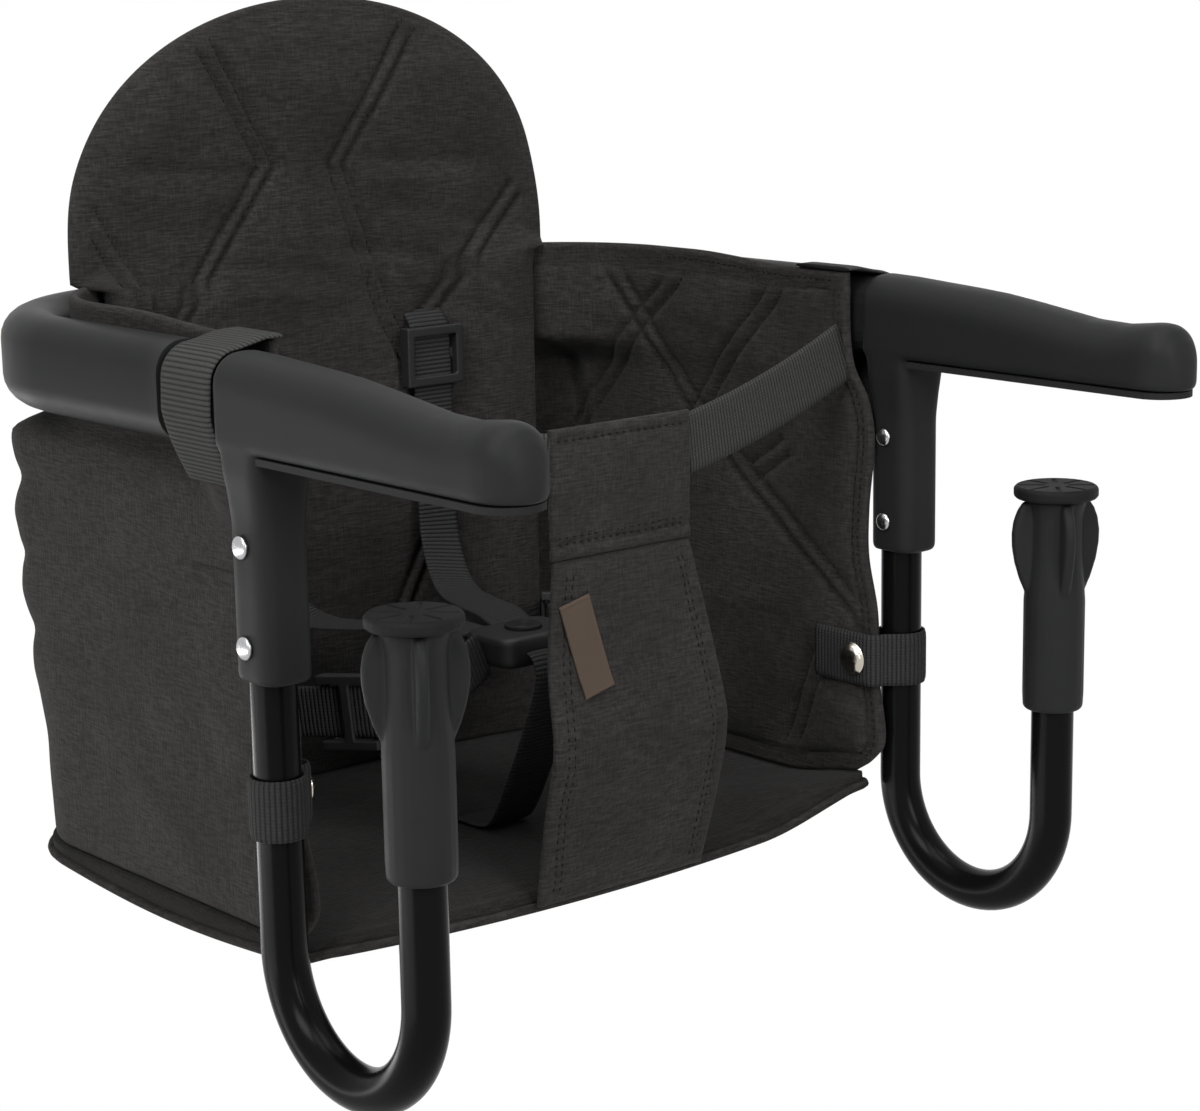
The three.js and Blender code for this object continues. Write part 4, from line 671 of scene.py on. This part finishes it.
def pad_lead(z):
    """How far the pad's face has come forward on its way down into the seat."""
    return eased((95 - z) / 53)


def pad_rise(z):
    return np.maximum(0, z - PAD_ARCH_FOOT) / (PAD_TOP - PAD_ARCH_FOOT)


def pad_half(z):
    return PAD_HALF * np.sqrt(np.maximum(0, 1 - pad_rise(z) ** 2.5)) - (PAD_HALF - PAD_LOWER_HALF) * pad_step(z)


def pad_front(x, z):
    """Middle, thickness towards the front, distance from the edge and crown of the backrest at (x, z)."""
    half = np.maximum(pad_half(z), 1)
    across = np.clip(np.abs(x) / half, 0, 1)
    arch = PAD_ARCH_FOOT + (PAD_TOP - PAD_ARCH_FOOT) * np.clip(1 - (np.abs(x) / PAD_HALF) ** 2, 0, 1) ** 0.4
    sideways, upward = np.maximum(half - np.abs(x), 0.01), np.maximum(arch - z, 0.01)
    rim = np.where(z > 60, 1 / np.sqrt(1 / sideways**2 + 1 / upward**2), sideways)
    rim = np.minimum(rim, np.maximum(z - PAD_BOTTOM, 0.01))
    ends = np.minimum(eased((PAD_TOP - z) / 40), eased((z - PAD_BOTTOM) / 40))
    crown = 4.3 * np.sqrt(np.clip(1 - across**6, 0, 1)) * ends
    relief = quilt(x, z, doubled(BACKREST_SEAMS), 2.1, 2.9) * eased((rim - 4) / 14) - 0.35 * ridge(rim, 3.5, 1.2)
    relief += slack(x, z, 3, 90, 0.35) * eased(rim / 20) + creases(x, z, PAD_FOLDS) * eased(rim / 12)
    thick = (3.2 + crown + relief) * rounded_rim(rim, 6)
    forward = PAD_STEP * pad_lead(z) + PAD_WING * across**4 * pad_wing(z, across) + PAD_LEAN * pad_rise(z)
    return PAD_MIDDLE - forward, thick, rim, crown


def add_backrest():
    low, high = 43, 100
    us = fine_edges(-1, 1, 0.0125, 0.07)
    zs = np.concatenate([fine_edges(PAD_BOTTOM, low, 2.4)[:-6], np.linspace(low, high, 36)[:-1],
                         high + (PAD_TOP - 0.4 - high) * np.sin(np.linspace(0.0, math.pi / 2, 62))])
    u, z = np.meshgrid(us, zs)
    drawn_in = (PAD_HALF - PAD_LOWER_HALF) * pad_step(z)
    x = u * (pad_half(z) + drawn_in) - np.sign(u) * np.abs(u) ** 8 * drawn_in
    middle, thick, rim, crown = pad_front(x, z)
    rear = (3 + crown * 0.95) * rounded_rim(rim, 6)
    skin = slab(spots(x, middle - thick, z), spots(x, middle + rear, z))
    pad = add_piece("backrest_quilted", skin, "cloth", stands_for=("backrest_pad",))
    stitches("backrest_stitching", seam_runs(
        BACKREST_SEAMS, lambda way: np.abs(way[:, 0]) < pad_half(way[:, 1]) - 8, on_pad))


def on_pad(way):
    middle, thick, _, _ = pad_front(way[:, 0], way[:, 1])
    return spots(way[:, 0], middle - thick, way[:, 1]), (0, -1, 0)


def wall_front(z, side):
    """Front edge of a side wall; the right one is drawn back where its loop pulls it."""
    drawn = 7 * ridge(np.asarray(z, float), LOOP_Z, 45) if side < 0 else 0
    return through(WALL_FRONT, z) + drawn


def far_curl(x, y):
    """How far the left front corner of the seat curls up."""
    return 8 * eased((x - 90) / 75) * eased((62 - y) / 56)


def hem_rise(x, y, z):
    """The top hem stands a little above the rail cover, except where a strap holds it down."""
    return 3.6 * eased((np.abs(x) - 86) / 22) * eased((y - 50) / 75) * eased((z - 27) / 13)


def wall_lift(y, z, side):
    """The foot of a wall follows the curl of the seat under it, and its top hem stands up."""
    return z + far_curl(side * 166.0, y) * eased((-135 - z) / 65) + hem_rise(WALL_X, y, z)


def seam_fade(y):
    """Relief dies out towards the join of side and back cloth."""
    return eased((WALL_SEAM - y) / 24)


def wall_quilting(y, z, rim):
    """Wadding between the sewn lines and the double hem; behind the join y runs on along the back wall."""
    hems = -1.0 * ridge(rim, WALL_HEMS[0], 1.2) - 1.7 * ridge(rim, WALL_HEMS[1], 1.3)
    return (quilt(y, z, doubled(WALL_SEAMS), 2.2, 2.5) - 1.0) * eased((rim - 8) / 12) + hems


def wall_rim(y, z, side):
    return np.minimum(np.minimum(y - wall_front(z, side), z - WALL_BOTTOM), WALL_TOP - z)


def wall_middle(z, side):
    return side * (WALL_X + WALL_FLARE * bulge(z) - WALL_T / 2)


def wall_inside(y, z, side):
    """Points on the inner face of a side wall."""
    rim = wall_rim(y, z, side)
    relief = wall_quilting(y, z, rim) + (slack(y, z, 5, 70, 0.5) + creases(y, z, WALL_FOLDS)) * seam_fade(y)
    inner = (WALL_T / 2 - 1.0 + relief) * rounded_rim(rim, 4)
    return spots(wall_middle(z, side) - side * inner, y, wall_lift(y, z, side))


def wall_outside(y, z, side):
    """Points on the outer face of a side wall."""
    rim = wall_rim(y, z, side)
    relief = slack(y, z, 8, 110, 0.7) + creases(y, z, OUTER_FOLDS)
    outer = (WALL_T / 2 - 0.8 + relief * eased(rim / 12) * seam_fade(y)) * rounded_rim(rim, 4)
    return spots(wall_middle(z, side) + side * outer, y, wall_lift(y, z, side))


def add_side_panel(label, side):
    t, z = np.meshgrid(fine_edges(0, 1, 0.012, 0.06), fine_edges(WALL_BOTTOM, WALL_TOP, 1.9))
    front_edge = wall_front(z, side)
    y = front_edge + (WALL_SEAM - front_edge) * t
    skin = slab(wall_inside(y, z, side), wall_outside(y, z, side))
    panel = add_piece(f"{label}_side_cloth", skin, "cloth", stands_for=(f"{label}_side_panel",), sharp=65)

    def laid(y, z):
        return wall_inside(y, z, side), (-side, 0, 0)
    runs = seam_runs(
        WALL_SEAMS, lambda way: (wall_rim(way[:, 0], way[:, 1], side) > 10) & (way[:, 0] < WALL_SEAM - 3),
        lambda way: laid(way[:, 0], way[:, 1]))
    for hem in WALL_HEMS:
        z_run, y_run = np.linspace(WALL_BOTTOM + 8, WALL_TOP - 8, 90), np.linspace(26, WALL_SEAM - 4, 50)
        runs += [laid(wall_front(z_run, side) + hem, z_run), laid(y_run, np.full(50, WALL_TOP - hem))]
    stitches(f"{label}_side_stitching", runs)


def wall_outline(half, rear, corner):
    """Plan of the back wall from right seam to left seam, evenly spaced."""
    line = [(-half, WALL_SEAM), (-half, rear - corner)]
    line += arc((corner - half, rear - corner), corner, 180, 90, 40)
    line += arc((half - corner, rear - corner), corner, 90, 0, 40)
    return evenly(line + [(half, WALL_SEAM)], BACK_COLUMNS)


def add_back_wall():
    inset = WALL_T / 2
    upper = wall_outline(WALL_X - inset, WALL_REAR - inset, WALL_UPPER_CORNER - inset)
    full_half, full_rear = WALL_X + WALL_FLARE - inset, WALL_REAR + WALL_REAR_FLARE - inset
    tight, settled = (wall_outline(full_half, full_rear, corner - inset)
                      for corner in (WALL_MIDDLE_CORNER, WALL_LOWER_CORNER))
    zs = fine_edges(WALL_BOTTOM, WALL_TOP, 1.9)
    rest = eased((-60 - zs) / (-60 - WALL_BOTTOM))[:, None, None]
    share = bulge(zs)[:, None, None]
    plan = upper * (1 - share) + (tight * (1 - rest) + settled * rest) * share
    run = unit(np.gradient(plan, axis=1))
    along, z = np.meshgrid(np.linspace(0, BACK_RUN, BACK_COLUMNS), zs)
    ends = np.minimum(along, BACK_RUN - along)
    rim = np.minimum(z - WALL_BOTTOM, WALL_TOP - z)
    round_off, fade = rounded_rim(rim, 4)[..., None], eased(ends / 24)
    slant = z + CORNER_SLANT * (along - CORNER_PLACE)
    ruck = ridge(ends, CORNER_PLACE, CORNER_REACH) * eased((-8 - z) / 14) * sum(
        height * ridge(slant, place, width) for place, width, height in CORNER_RUCKS)
    outer = inset - 0.8 + (slack(along, z, 12, 120, 0.6) * eased(rim / 12) + ruck) * fade
    way = np.cumsum(np.linalg.norm(np.diff(plan, axis=1, prepend=plan[:, :1]), axis=2), axis=1)
    reach = WALL_SEAM + np.minimum(way, way[:, -1:] - way)
    inner = (inset - 1.0 + wall_quilting(reach, z, rim) + slack(along, z, 13, 80, 0.3) * fade
             + creases(reach, z, BACK_FOLDS))
    middle = np.concatenate([plan, (z + hem_rise(plan[..., 0], plan[..., 1], z))[..., None]], -1)
    rearward = spots(-run[..., 1], run[..., 0], np.zeros_like(z))
    skin = slab(middle + rearward * outer[..., None] * round_off, middle - rearward * inner[..., None] * round_off)
    wall = add_piece("back_wall_cloth", skin, "cloth", stands_for=("back_panel",), sharp=65)


def base_outline(inset, count):
    """Plan of the seat base with its bowed front edge, evenly spaced."""
    half, rear, corner = BASE_HALF - inset, BASE_REAR - inset, WALL_LOWER_CORNER - inset
    front, bow, nip = 3.0 + inset, 6.0, 7.0
    side = front + bow
    line = bend((-half, side + nip), (-half, side), (nip - half, side - 1), 24)
    line += bend((nip - half, side - 1), (0, front - bow + 1), (half - nip, side - 1), 24)[1:]
    line += bend((half - nip, side - 1), (half, side), (half, side + nip), 24)[1:]
    line += arc((half - corner, rear - corner), corner, 0, 90, 24)
    line += arc((corner - half, rear - corner), corner, 90, 180, 24)
    return evenly(line + line[:1], count, endpoint=False)


def base_sag(edge):
    """How far the cloth edge hangs between its corners, at each point of the outline."""
    side = np.clip((edge[:, 1] - 20) / 180, 0, 1)
    front = np.clip((edge[:, 0] + 150) / 300, 0, 1)
    along_front = eased((30 - edge[:, 1]) / 14)
    along_side = eased((np.abs(edge[:, 0]) - 158) / 6) * (1 - along_front)
    return 4.6 * (np.sin(math.pi * front) ** 0.8 * along_front + np.sin(math.pi * side) * along_side)


def add_base():
    edge, centre, reach = base_outline(1.2, 220), np.array([0.0, 120.0]), 130
    shares = np.concatenate([1 - 0.05 * (1 - np.cos(np.linspace(0, math.pi / 2, 7))), np.linspace(0.93, 0.02, 34)])
    ahead = eased((30 - edge[:, 1]) / 14) * eased((164 - np.abs(edge[:, 0])) / 14)
    curl, sag = far_curl(edge[:, 0], edge[:, 1]), base_sag(edge)
    rings = []
    for top in (False, True):
        for share in (shares if top else shares[::-1]):
            flat = centre + (edge - centre) * share
            rim = (1 - share) * reach
            full, hem, drop = rounded_rim(rim, 5), -0.8 * ridge(rim, 8, 2), sag * share**6
            lift = (BASE_TOP - BASE_BOTTOM) / 2 * (full * ahead + 1 - ahead if top else full)
            height = BASE_MIDDLE + (lift if top else -lift) + curl * share**3
            relief = slack(flat[:, 0], flat[:, 1], 21, 120, 0.3) * eased(rim / 20)
            height = height + (relief + (hem - drop) * ahead - 0.3 if top else 0.3 - hem - drop)
            rings.append(np.column_stack([flat, height]))
    # The base cloth's darker colours are painted shade for the inside of the seat.
    base = add_piece("seat_base_cloth", rings_skin(rings), "flat_cloth_painted_shade", stands_for=("seat_base",))
    line = base_outline(0.6, 300)
    line = np.concatenate([line, line[:2]])
    path = np.column_stack([line, BASE_MIDDLE - 1.2 - base_sag(line) + far_curl(line[:, 0], line[:, 1])])
    ring = swept(path, circle(2.0, PIPING_SIDES), (0, 0, 1))[1:-1]
    faces = grid_faces(len(ring), PIPING_SIDES, closed=True)
    last = (len(ring) - 1) * PIPING_SIDES
    for i in range(PIPING_SIDES):
        k = (i + 1) % PIPING_SIDES
        faces.append((last + i, last + k, k, i))
    add_piece("seat_base_piping", outward(ring.reshape(-1, 3), faces), "lining")


# Front panel, waist band, belts and patch

def crotch_face(x, z, facing=-1):
    """Points on the front or back face of the front panel."""
    inside = through(CROTCH_HALF, z) - np.abs(x)
    rim = np.minimum(inside, np.minimum(z - CROTCH_BOTTOM, CROTCH_TOP - z))
    relief = -0.9 * ridge(inside, CROTCH_HEMS[0], 1.2) - 0.35 * ridge(inside, CROTCH_HEMS[1], 1.0)
    relief += slack(x, z, 31, 70, 0.5) * eased(rim / 12) + creases(x, z, FRONT_FOLDS)
    thick = (2.0 + relief) * rounded_rim(rim, 3)
    return spots(x, through(CROTCH_LINE, z) + facing * thick, z)


def add_front_panel():
    u, z = np.meshgrid(fine_edges(-1, 1, 0.026, 0.08), fine_edges(CROTCH_BOTTOM, CROTCH_TOP, 1.8, 6))
    x = u * through(CROTCH_HALF, z)
    skin = slab(crotch_face(x, z), crotch_face(x, z, 1))
    panel = add_piece("front_panel_cloth", skin, "cloth", stands_for=("crotch_panel",))
    z = np.linspace(-208, -67, 80)
    edges = [side * (through(CROTCH_HALF, z) - hem) for side in (-1, 1) for hem in CROTCH_HEMS]
    thread = stitches("front_panel_stitching", [(crotch_face(edge, z), (0, -1, 0)) for edge in edges])


def add_waist_band():
    def tunnel(z):
        return 1.3 * ridge(z, -24, 17)
    x, z = np.meshgrid(fine_edges(-BAND_HALF, BAND_HALF, 1.6, 5), fine_edges(BAND_BOTTOM, BAND_TOP, 1.2, 5))
    rim = np.minimum(BAND_HALF - np.abs(x), np.minimum(z - BAND_BOTTOM, BAND_TOP - z))
    hem = -0.9 * ridge(z, BAND_BOTTOM + 7, 1.1) - 0.7 * ridge(z, BAND_TOP - 5, 1.1)
    hem += 0.9 * ridge(z, BAND_BOTTOM + 2.5, 2.5)
    thick = (1.7 + tunnel(z) + hem + slack(x, z, 37, 45, 0.3)) * rounded_rim(rim, 2.5)
    skin = slab(spots(x, BAND_Y - thick, z), spots(x, BAND_Y + thick, z))
    band = add_piece("waist_band_cloth", skin, "cloth", stands_for=("waist_band",))
    runs = []
    for height in (BAND_BOTTOM + 7, BAND_BOTTOM + 9.5, BAND_TOP - 5):
        x, face = np.linspace(-BAND_HALF + 2, BAND_HALF - 2, 30), BAND_Y - 1.4 - tunnel(height)
        runs.append((spots(x, face, height), (0, -1, 0)))
    stitches("waist_band_stitching", runs)


def add_waist_belts():
    f = np.linspace(0, 1, 30)[:, None]
    for label, side in SIDES.items():
        start, end = np.array([side * 38.6, BAND_Y, -21.0]), np.array([side * 156.6, 18.0, 5.5])
        path = start + (end - start) * f + np.array([0, 0, -3.0]) * (4 * f * (1 - f))
        across = np.hstack([-0.12 * side * f, 0.1 * f, np.ones_like(f)])
        webbing(f"{label}_waist_webbing", path, across, BELT_WIDTH, BELT_T, f"{label}_waist_belt", "strap")


def add_patch():
    tilt = math.radians(PATCH_TILT)
    s, t = np.meshgrid(fine_edges(-PATCH_HALF, PATCH_HALF, 0.9, 1.5),
                       fine_edges(-PATCH_LONG_HALF, PATCH_LONG_HALF, 1.0, 1.5))
    rim = np.minimum(PATCH_HALF - np.abs(s), PATCH_LONG_HALF - np.abs(t))
    x = PATCH_X + s * math.cos(tilt) - t * math.sin(tilt)
    z = PATCH_Z + t * math.cos(tilt) + s * math.sin(tilt)
    y = through(CROTCH_LINE, z) - 2.9
    lift = 1.1 * rounded_rim(rim, 0.9) - 0.35 * ridge(rim, 1.9, 0.5)
    skin = slab(spots(x, y - lift, z), spots(x, y, z))
    add_piece("leather_patch_bare", skin, "leather", stands_for=("leather_patch",))


# Webbing on the rail and legs, and snaps

def beside_leg(side, out, y, z):
    """Points given by their distance out from the leg's middle."""
    return spots(side * (LEG_X + out), y, z)


def strap_line(half, height, radius, tail=None):
    """Strap over the rail in (outward, up), on to the tongue or round under the rail with a tail."""
    off = STRAP_GAP + WEBBING_T / 2
    top, bottom, wall = RAIL_Z + height / 2, RAIL_Z - height / 2, -COVER_THICKNESS / 2 - 1
    over, under, drop = max(top, WALL_TOP) + off, bottom - off, wall + off + 0.6
    line = [(wall - WALL_T + 1, over), (wall - 2, over), (wall + 2, over)]
    line += arc((half - radius, top - radius), radius + off, 90, 0, 14)
    if tail is None:
        return sampled(np.concatenate([line, tongue_line(off + 1.0)[3:17]]), STRAP_STEP)
    line += arc((half - radius, bottom + radius), radius + off, 0, -90, 14)
    return sampled(line + bend((-half / 2, under), (drop, under), (drop, bottom - tail), 10), STRAP_STEP)


def loop_line(side):
    """Loop from the wall's inside, round its front edge and the leg, to the wall's outside."""
    around, flare = TUBE_RADIUS + STRAP_GAP + WEBBING_T / 2, WALL_FLARE * float(bulge(LOOP_Z))
    inner = WALL_X - WALL_T + flare - LEG_X - 0.6 - WEBBING_T / 2
    outer = WALL_X + flare - LEG_X + 0.3 + WEBBING_T / 2
    edge = float(wall_front(LOOP_Z, side))
    turn = (inner + 6.3, edge - 2.4)
    first = math.atan2(turn[1], turn[0]) % (2 * math.pi) + math.acos(around / math.hypot(*turn)) - 2 * math.pi
    line = [(inner, LOOP_TAIL)] + bend((inner, edge + 3), (inner, edge - 2.4), turn, 10)
    line += arc((0, 0), around, math.degrees(first), 126, 36)
    line += bend(line[-1], (outer, around + 2), (outer, around + 9), 10)[1:] + [(outer, LOOP_TAIL)]
    return sampled(line, STRAP_STEP)


def tongue_line(outside):
    """From the strap on the rail's outer face down to the side cloth, in (outward, up)."""
    half, foot = COLLAR_THICKNESS / 2 + outside, WALL_X + WALL_FLARE - LEG_X
    turn = bend((half, RAIL_Z), (half, 2.0), (foot + 2.4, -34.0), 24)
    return np.array(turn + [(foot + 0.2, -46.0), (foot - 0.6, -54.0)])


def add_tongue(label, side):
    """The side cloth's tongue that the strap is sewn to, wider towards the rear and thin at its foot."""
    way = sampled(tongue_line(0.9), 2.0)
    out, up = way[:, :1], way[:, 1:]
    across = fine_edges(-1, 1, 0.08, 0.15)[None]
    width = np.where(across > 0, 17 + 26 * eased((4 - up) / 45), 17 + 7 * eased((8 - up) / 50))
    y = COLLAR_FRONT + 2 + TOP_STRAP_WIDTH / 2 + np.maximum(across * width, -TOP_STRAP_WIDTH / 2 - 0.5)
    laid = eased(across) * eased((2 - up) / 26)
    wall = WALL_X + WALL_FLARE * bulge(up) - LEG_X + 0.3
    run = unit(np.gradient(way, axis=0))
    lift = 0.8 * rounded_rim((1 - np.abs(across)) * width, 2) * (0.1 + 0.9 * eased((up + 50) / 24))
    outer, inner = (beside_leg(side, out * (1 - laid) + wall * laid - sign * lift * run[:, 1:], y,
                               up + sign * lift * run[:, :1]) for sign in (1, -1))
    obj = add_piece(f"{label}_strap_tongue", slab(outer, inner), "cloth")


def add_straps():
    snap = [(0.4, 0.0), (6.6, 0.0), (7.7, 0.3), (7.9, 0.9), (7.5, 1.4)]
    snap += [(7.0 * math.cos(a), 1.5 + 3.0 * math.sin(a)) for a in np.linspace(0.1, math.pi / 2, 12)[:-1]]
    snap += [(0.3, 4.5)]
    snap_x = WALL_X - WALL_T + WALL_FLARE * float(bulge(LOOP_Z)) - 0.7 - WEBBING_T
    for label, side in SIDES.items():
        line = strap_line(COLLAR_THICKNESS / 2, COLLAR_HEIGHT, COLLAR_EDGE)
        path = beside_leg(side, line[:, 0], COLLAR_FRONT + 1.4 + TOP_STRAP_WIDTH / 2, line[:, 1])
        webbing(f"{label}_top_webbing", path, (0, 1, 0), TOP_STRAP_WIDTH, WEBBING_T, f"{label}_top_strap", "strap")
        add_tongue(label, side)
        line = strap_line(COVER_THICKNESS / 2, COVER_HEIGHT, COVER_EDGE, 2.5)
        path = spots(side * REAR_STRAP_X, RAIL_REAR + line[:, 0], line[:, 1])
        webbing(f"{label}_rear_webbing", path, (1, 0, 0), STRAP_WIDTH, WEBBING_T, f"{label}_rear_strap")
        line = loop_line(side)
        path = beside_leg(side, line[:, 0], line[:, 1], LOOP_Z)
        webbing(f"{label}_leg_webbing", path, (0, 0, 1), LOOP_WIDTH, WEBBING_T, f"{label}_leg_loop")
        skin = turned(snap, 40, (-side, 0, 0), (side * snap_x, 13.5 - 3.0 * side, LOOP_Z))
        add_piece(f"{label}_snap_cap", skin, "nickel", stands_for=(f"{label}_snap",), sharp=35)


# Harness; routes are given for the left side and mirrored

SHOULDER_Y = PAD_MIDDLE - PAD_STEP - 8 - 7
SHOULDER_PATH = [(54, 207, 19), (54, 205, 17.5), (54, SHOULDER_Y, 10), (54, SHOULDER_Y, -75), (52, SHOULDER_Y - 5, -98),
                 (46, SHOULDER_Y - 24, -116), (34, 140, -115), (18, 106, -110), (13, 90.1, -112), (13, 82.1, -112)]
LAP_START, LAP_CORNER = (128, 230.7, -150), (128, 206, -150)
LAP_MIDDLE = {"right": (80, 88, -137), "left": (76, 140, -133)}
LAP_STRAIGHT = (-31, -28, 28, 31)
LAP_END = {"right": [(50, 56, -126), (27, 60, -115)], "left": [(38, 88, -120), (26, 66, -115)]}
CROTCH_START, CROTCH_FOOT = BUCKLE_Y - BUCKLE_HALF - 0.3, BASE_TOP + 0.3 + HARNESS_T / 2
CROTCH_PATH = [(0, -115), (-5, -117), (-8, -127), (12, -170), (28, CROTCH_FOOT + 4), (36, CROTCH_FOOT),
               (56, CROTCH_FOOT)]
BUTTON = [(0.3, 0.0), (8.2, 0.0), (8.6, 0.5), (8.4, 1.6), (7.6, 2.1), (0.3, 1.5)]


def harness_strap(name, points, across, width, solid):
    webbing(name, sampled(cornered(points), HARNESS_STEP), across, width, HARNESS_T, solid)


def add_harness():
    for label, side in SIDES.items():
        mirror = np.array([side, 1, 1])
        harness_strap(f"{label}_shoulder_webbing", np.array(SHOULDER_PATH) * mirror, (1, 0, 0), HARNESS_WIDTH,
                      f"{label}_shoulder_strap")
        corner, middle = np.array(LAP_CORNER) * mirror, np.array(LAP_MIDDLE[label]) * mirror
        along = unit(middle - corner)
        points = [np.array(LAP_START) * mirror, corner] + [middle + along * reach for reach in LAP_STRAIGHT]
        points += [np.array(p) * mirror for p in LAP_END[label]]
        harness_strap(f"{label}_lap_webbing", points, (0, 0, 1), HARNESS_WIDTH, f"{label}_lap_strap")
        softened(f"{label}_shoulder_adjuster", 0.45, 3, "buckle", f"{label}_shoulder_slider")
        softened(f"{label}_lap_adjuster", 0.45, 3, "buckle", f"{label}_lap_slider")
    points = [(0, CROTCH_START + y, z) for y, z in CROTCH_PATH]
    harness_strap("crotch_webbing", points, (1, 0, 0), CROTCH_STRAP_WIDTH, "crotch_strap")
    softened("harness_buckle", 0.6, 5, "buckle", "seat")
    add_piece("buckle_button", turned(BUTTON, 36, (0, 0, 1), (0, BUCKLE_Y, BUCKLE_TOP)), "rubber", sharp=40)


def dress_solids():
    """Finishes for the solids that show as they are."""
    kept = {"rail_tube": "tube", "seat_board": "board"}
    for label in SIDES:
        kept.update({f"{label}_rail_collar": "collar", f"{label}_arm_pad": "rubber", f"{label}_swivel_pin": "steel",
                     f"{label}_clamp_spindle": "steel", f"{label}_clamp_nut": "brass"})
    for name, finish in kept.items():
        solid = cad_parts[name]
        solid.data.materials.clear()
        solid.data.materials.append(FINISH[finish][1])


# Studio

def lamp(name, place, aim, size, power):
    data = bpy.data.lights.new(name, "AREA")
    data.shape, data.size, data.size_y, data.energy = "RECTANGLE", size[0], size[1], power
    obj = bpy.data.objects.new(name, data)
    obj.location = place
    obj.rotation_euler = (Vector(aim) - Vector(place)).to_track_quat("-Z", "Y").to_euler()
    SCENE.collection.objects.link(obj)


def plain_white(tree, surface, shader, end):
    """White to the eye and in reflections, the given surface otherwise."""
    rays = node(tree, "ShaderNodeLightPath").outputs
    mirrored = reckon("MAXIMUM", rays["Is Glossy Ray"], rays["Is Transmission Ray"])
    seen = reckon("MAXIMUM", rays["Is Camera Ray"], mirrored)
    white = node(tree, shader, Color=WHITE, Strength=1.0)
    either = node(tree, "ShaderNodeMixShader", [(0, seen), (1, surface.outputs[0]), (2, white.outputs[0])])
    tree.links.new(either.outputs[0], tree.nodes[end].inputs["Surface"])


def add_floor():
    corners = [(x * FLOOR_REACH, y * FLOOR_REACH, FLOOR_LEVEL) for x, y in ((-1, -1), (1, -1), (1, 1), (-1, 1))]
    mesh = mesh_from("floor", (corners, [(0, 1, 2, 3)]))
    floor = bpy.data.objects.new("floor", mesh)
    SCENE.collection.objects.link(floor)
    pale = bpy.data.materials.new("pale_floor")
    pale.use_nodes = True
    surface = pale.node_tree.nodes["Principled BSDF"]
    surface.inputs["Base Color"].default_value = PALE
    surface.inputs["Roughness"].default_value = 0.9
    plain_white(pale.node_tree, surface, "ShaderNodeEmission", "Material Output")
    mesh.materials.append(pale)


def add_camera():
    a, e, r = (math.radians(v) for v in (CAMERA_AZIMUTH, CAMERA_ELEVATION, CAMERA_ROLL))
    back = Vector((math.sin(a) * math.cos(e), -math.cos(a) * math.cos(e), math.sin(e)))
    right = Vector((math.cos(a), math.sin(a), 0))
    up = back.cross(right)
    right, up = math.cos(r) * right + math.sin(r) * up, -math.sin(r) * right + math.cos(r) * up
    data = bpy.data.cameras.new("camera")
    data.sensor_fit, data.sensor_width, data.lens = "HORIZONTAL", CAMERA_SENSOR, CAMERA_LENS
    data.shift_x, data.shift_y = CAMERA_SHIFT
    data.clip_start, data.clip_end = 0.05, 30
    camera = bpy.data.objects.new("camera", data)
    turn = Matrix((right, up, back)).transposed().to_4x4()
    camera.matrix_world = Matrix.Translation(CAMERA_PLACE) @ turn
    SCENE.collection.objects.link(camera)
    SCENE.camera = camera


def add_studio():
    SCENE.view_settings.view_transform = "Standard"
    world = bpy.data.worlds.new("studio")
    SCENE.world = world
    world.use_nodes = True
    ambient = world.node_tree.nodes["Background"]
    ambient.inputs["Color"].default_value = WHITE
    ambient.inputs["Strength"].default_value = 0.11
    plain_white(world.node_tree, ambient, "ShaderNodeBackground", "World Output")
    add_floor()
    lamp("left_softbox", (-1.5, -0.7, 1.4), (0, 0.05, -0.05), (0.9, 1.2), 36)
    lamp("low_left_strip", (-1.5, 0.5, -0.6), (-0.15, 0.15, 0), (1.6, 0.4), 10)
    lamp("low_rear_strip", (-0.6, 1.5, -0.62), (-0.185, 0.17, 0.02), (1.2, 0.22), 4.5)
    lamp("top_softbox", (-0.1, -0.1, 1.9), (0, 0.05, 0), (1.4, 1.4), 27)
    lamp("front_fill", (-0.2, -2.1, 0.85), (0, 0, -0.05), (0.9, 1.2), 31)
    add_camera()


add_studio()
add_frame()
add_backrest()
for wall, wall_side in SIDES.items():
    add_side_panel(wall, wall_side)
add_back_wall()
add_base()
add_front_panel()
add_waist_band()
add_waist_belts()
add_patch()
add_straps()
add_harness()
dress_solids()
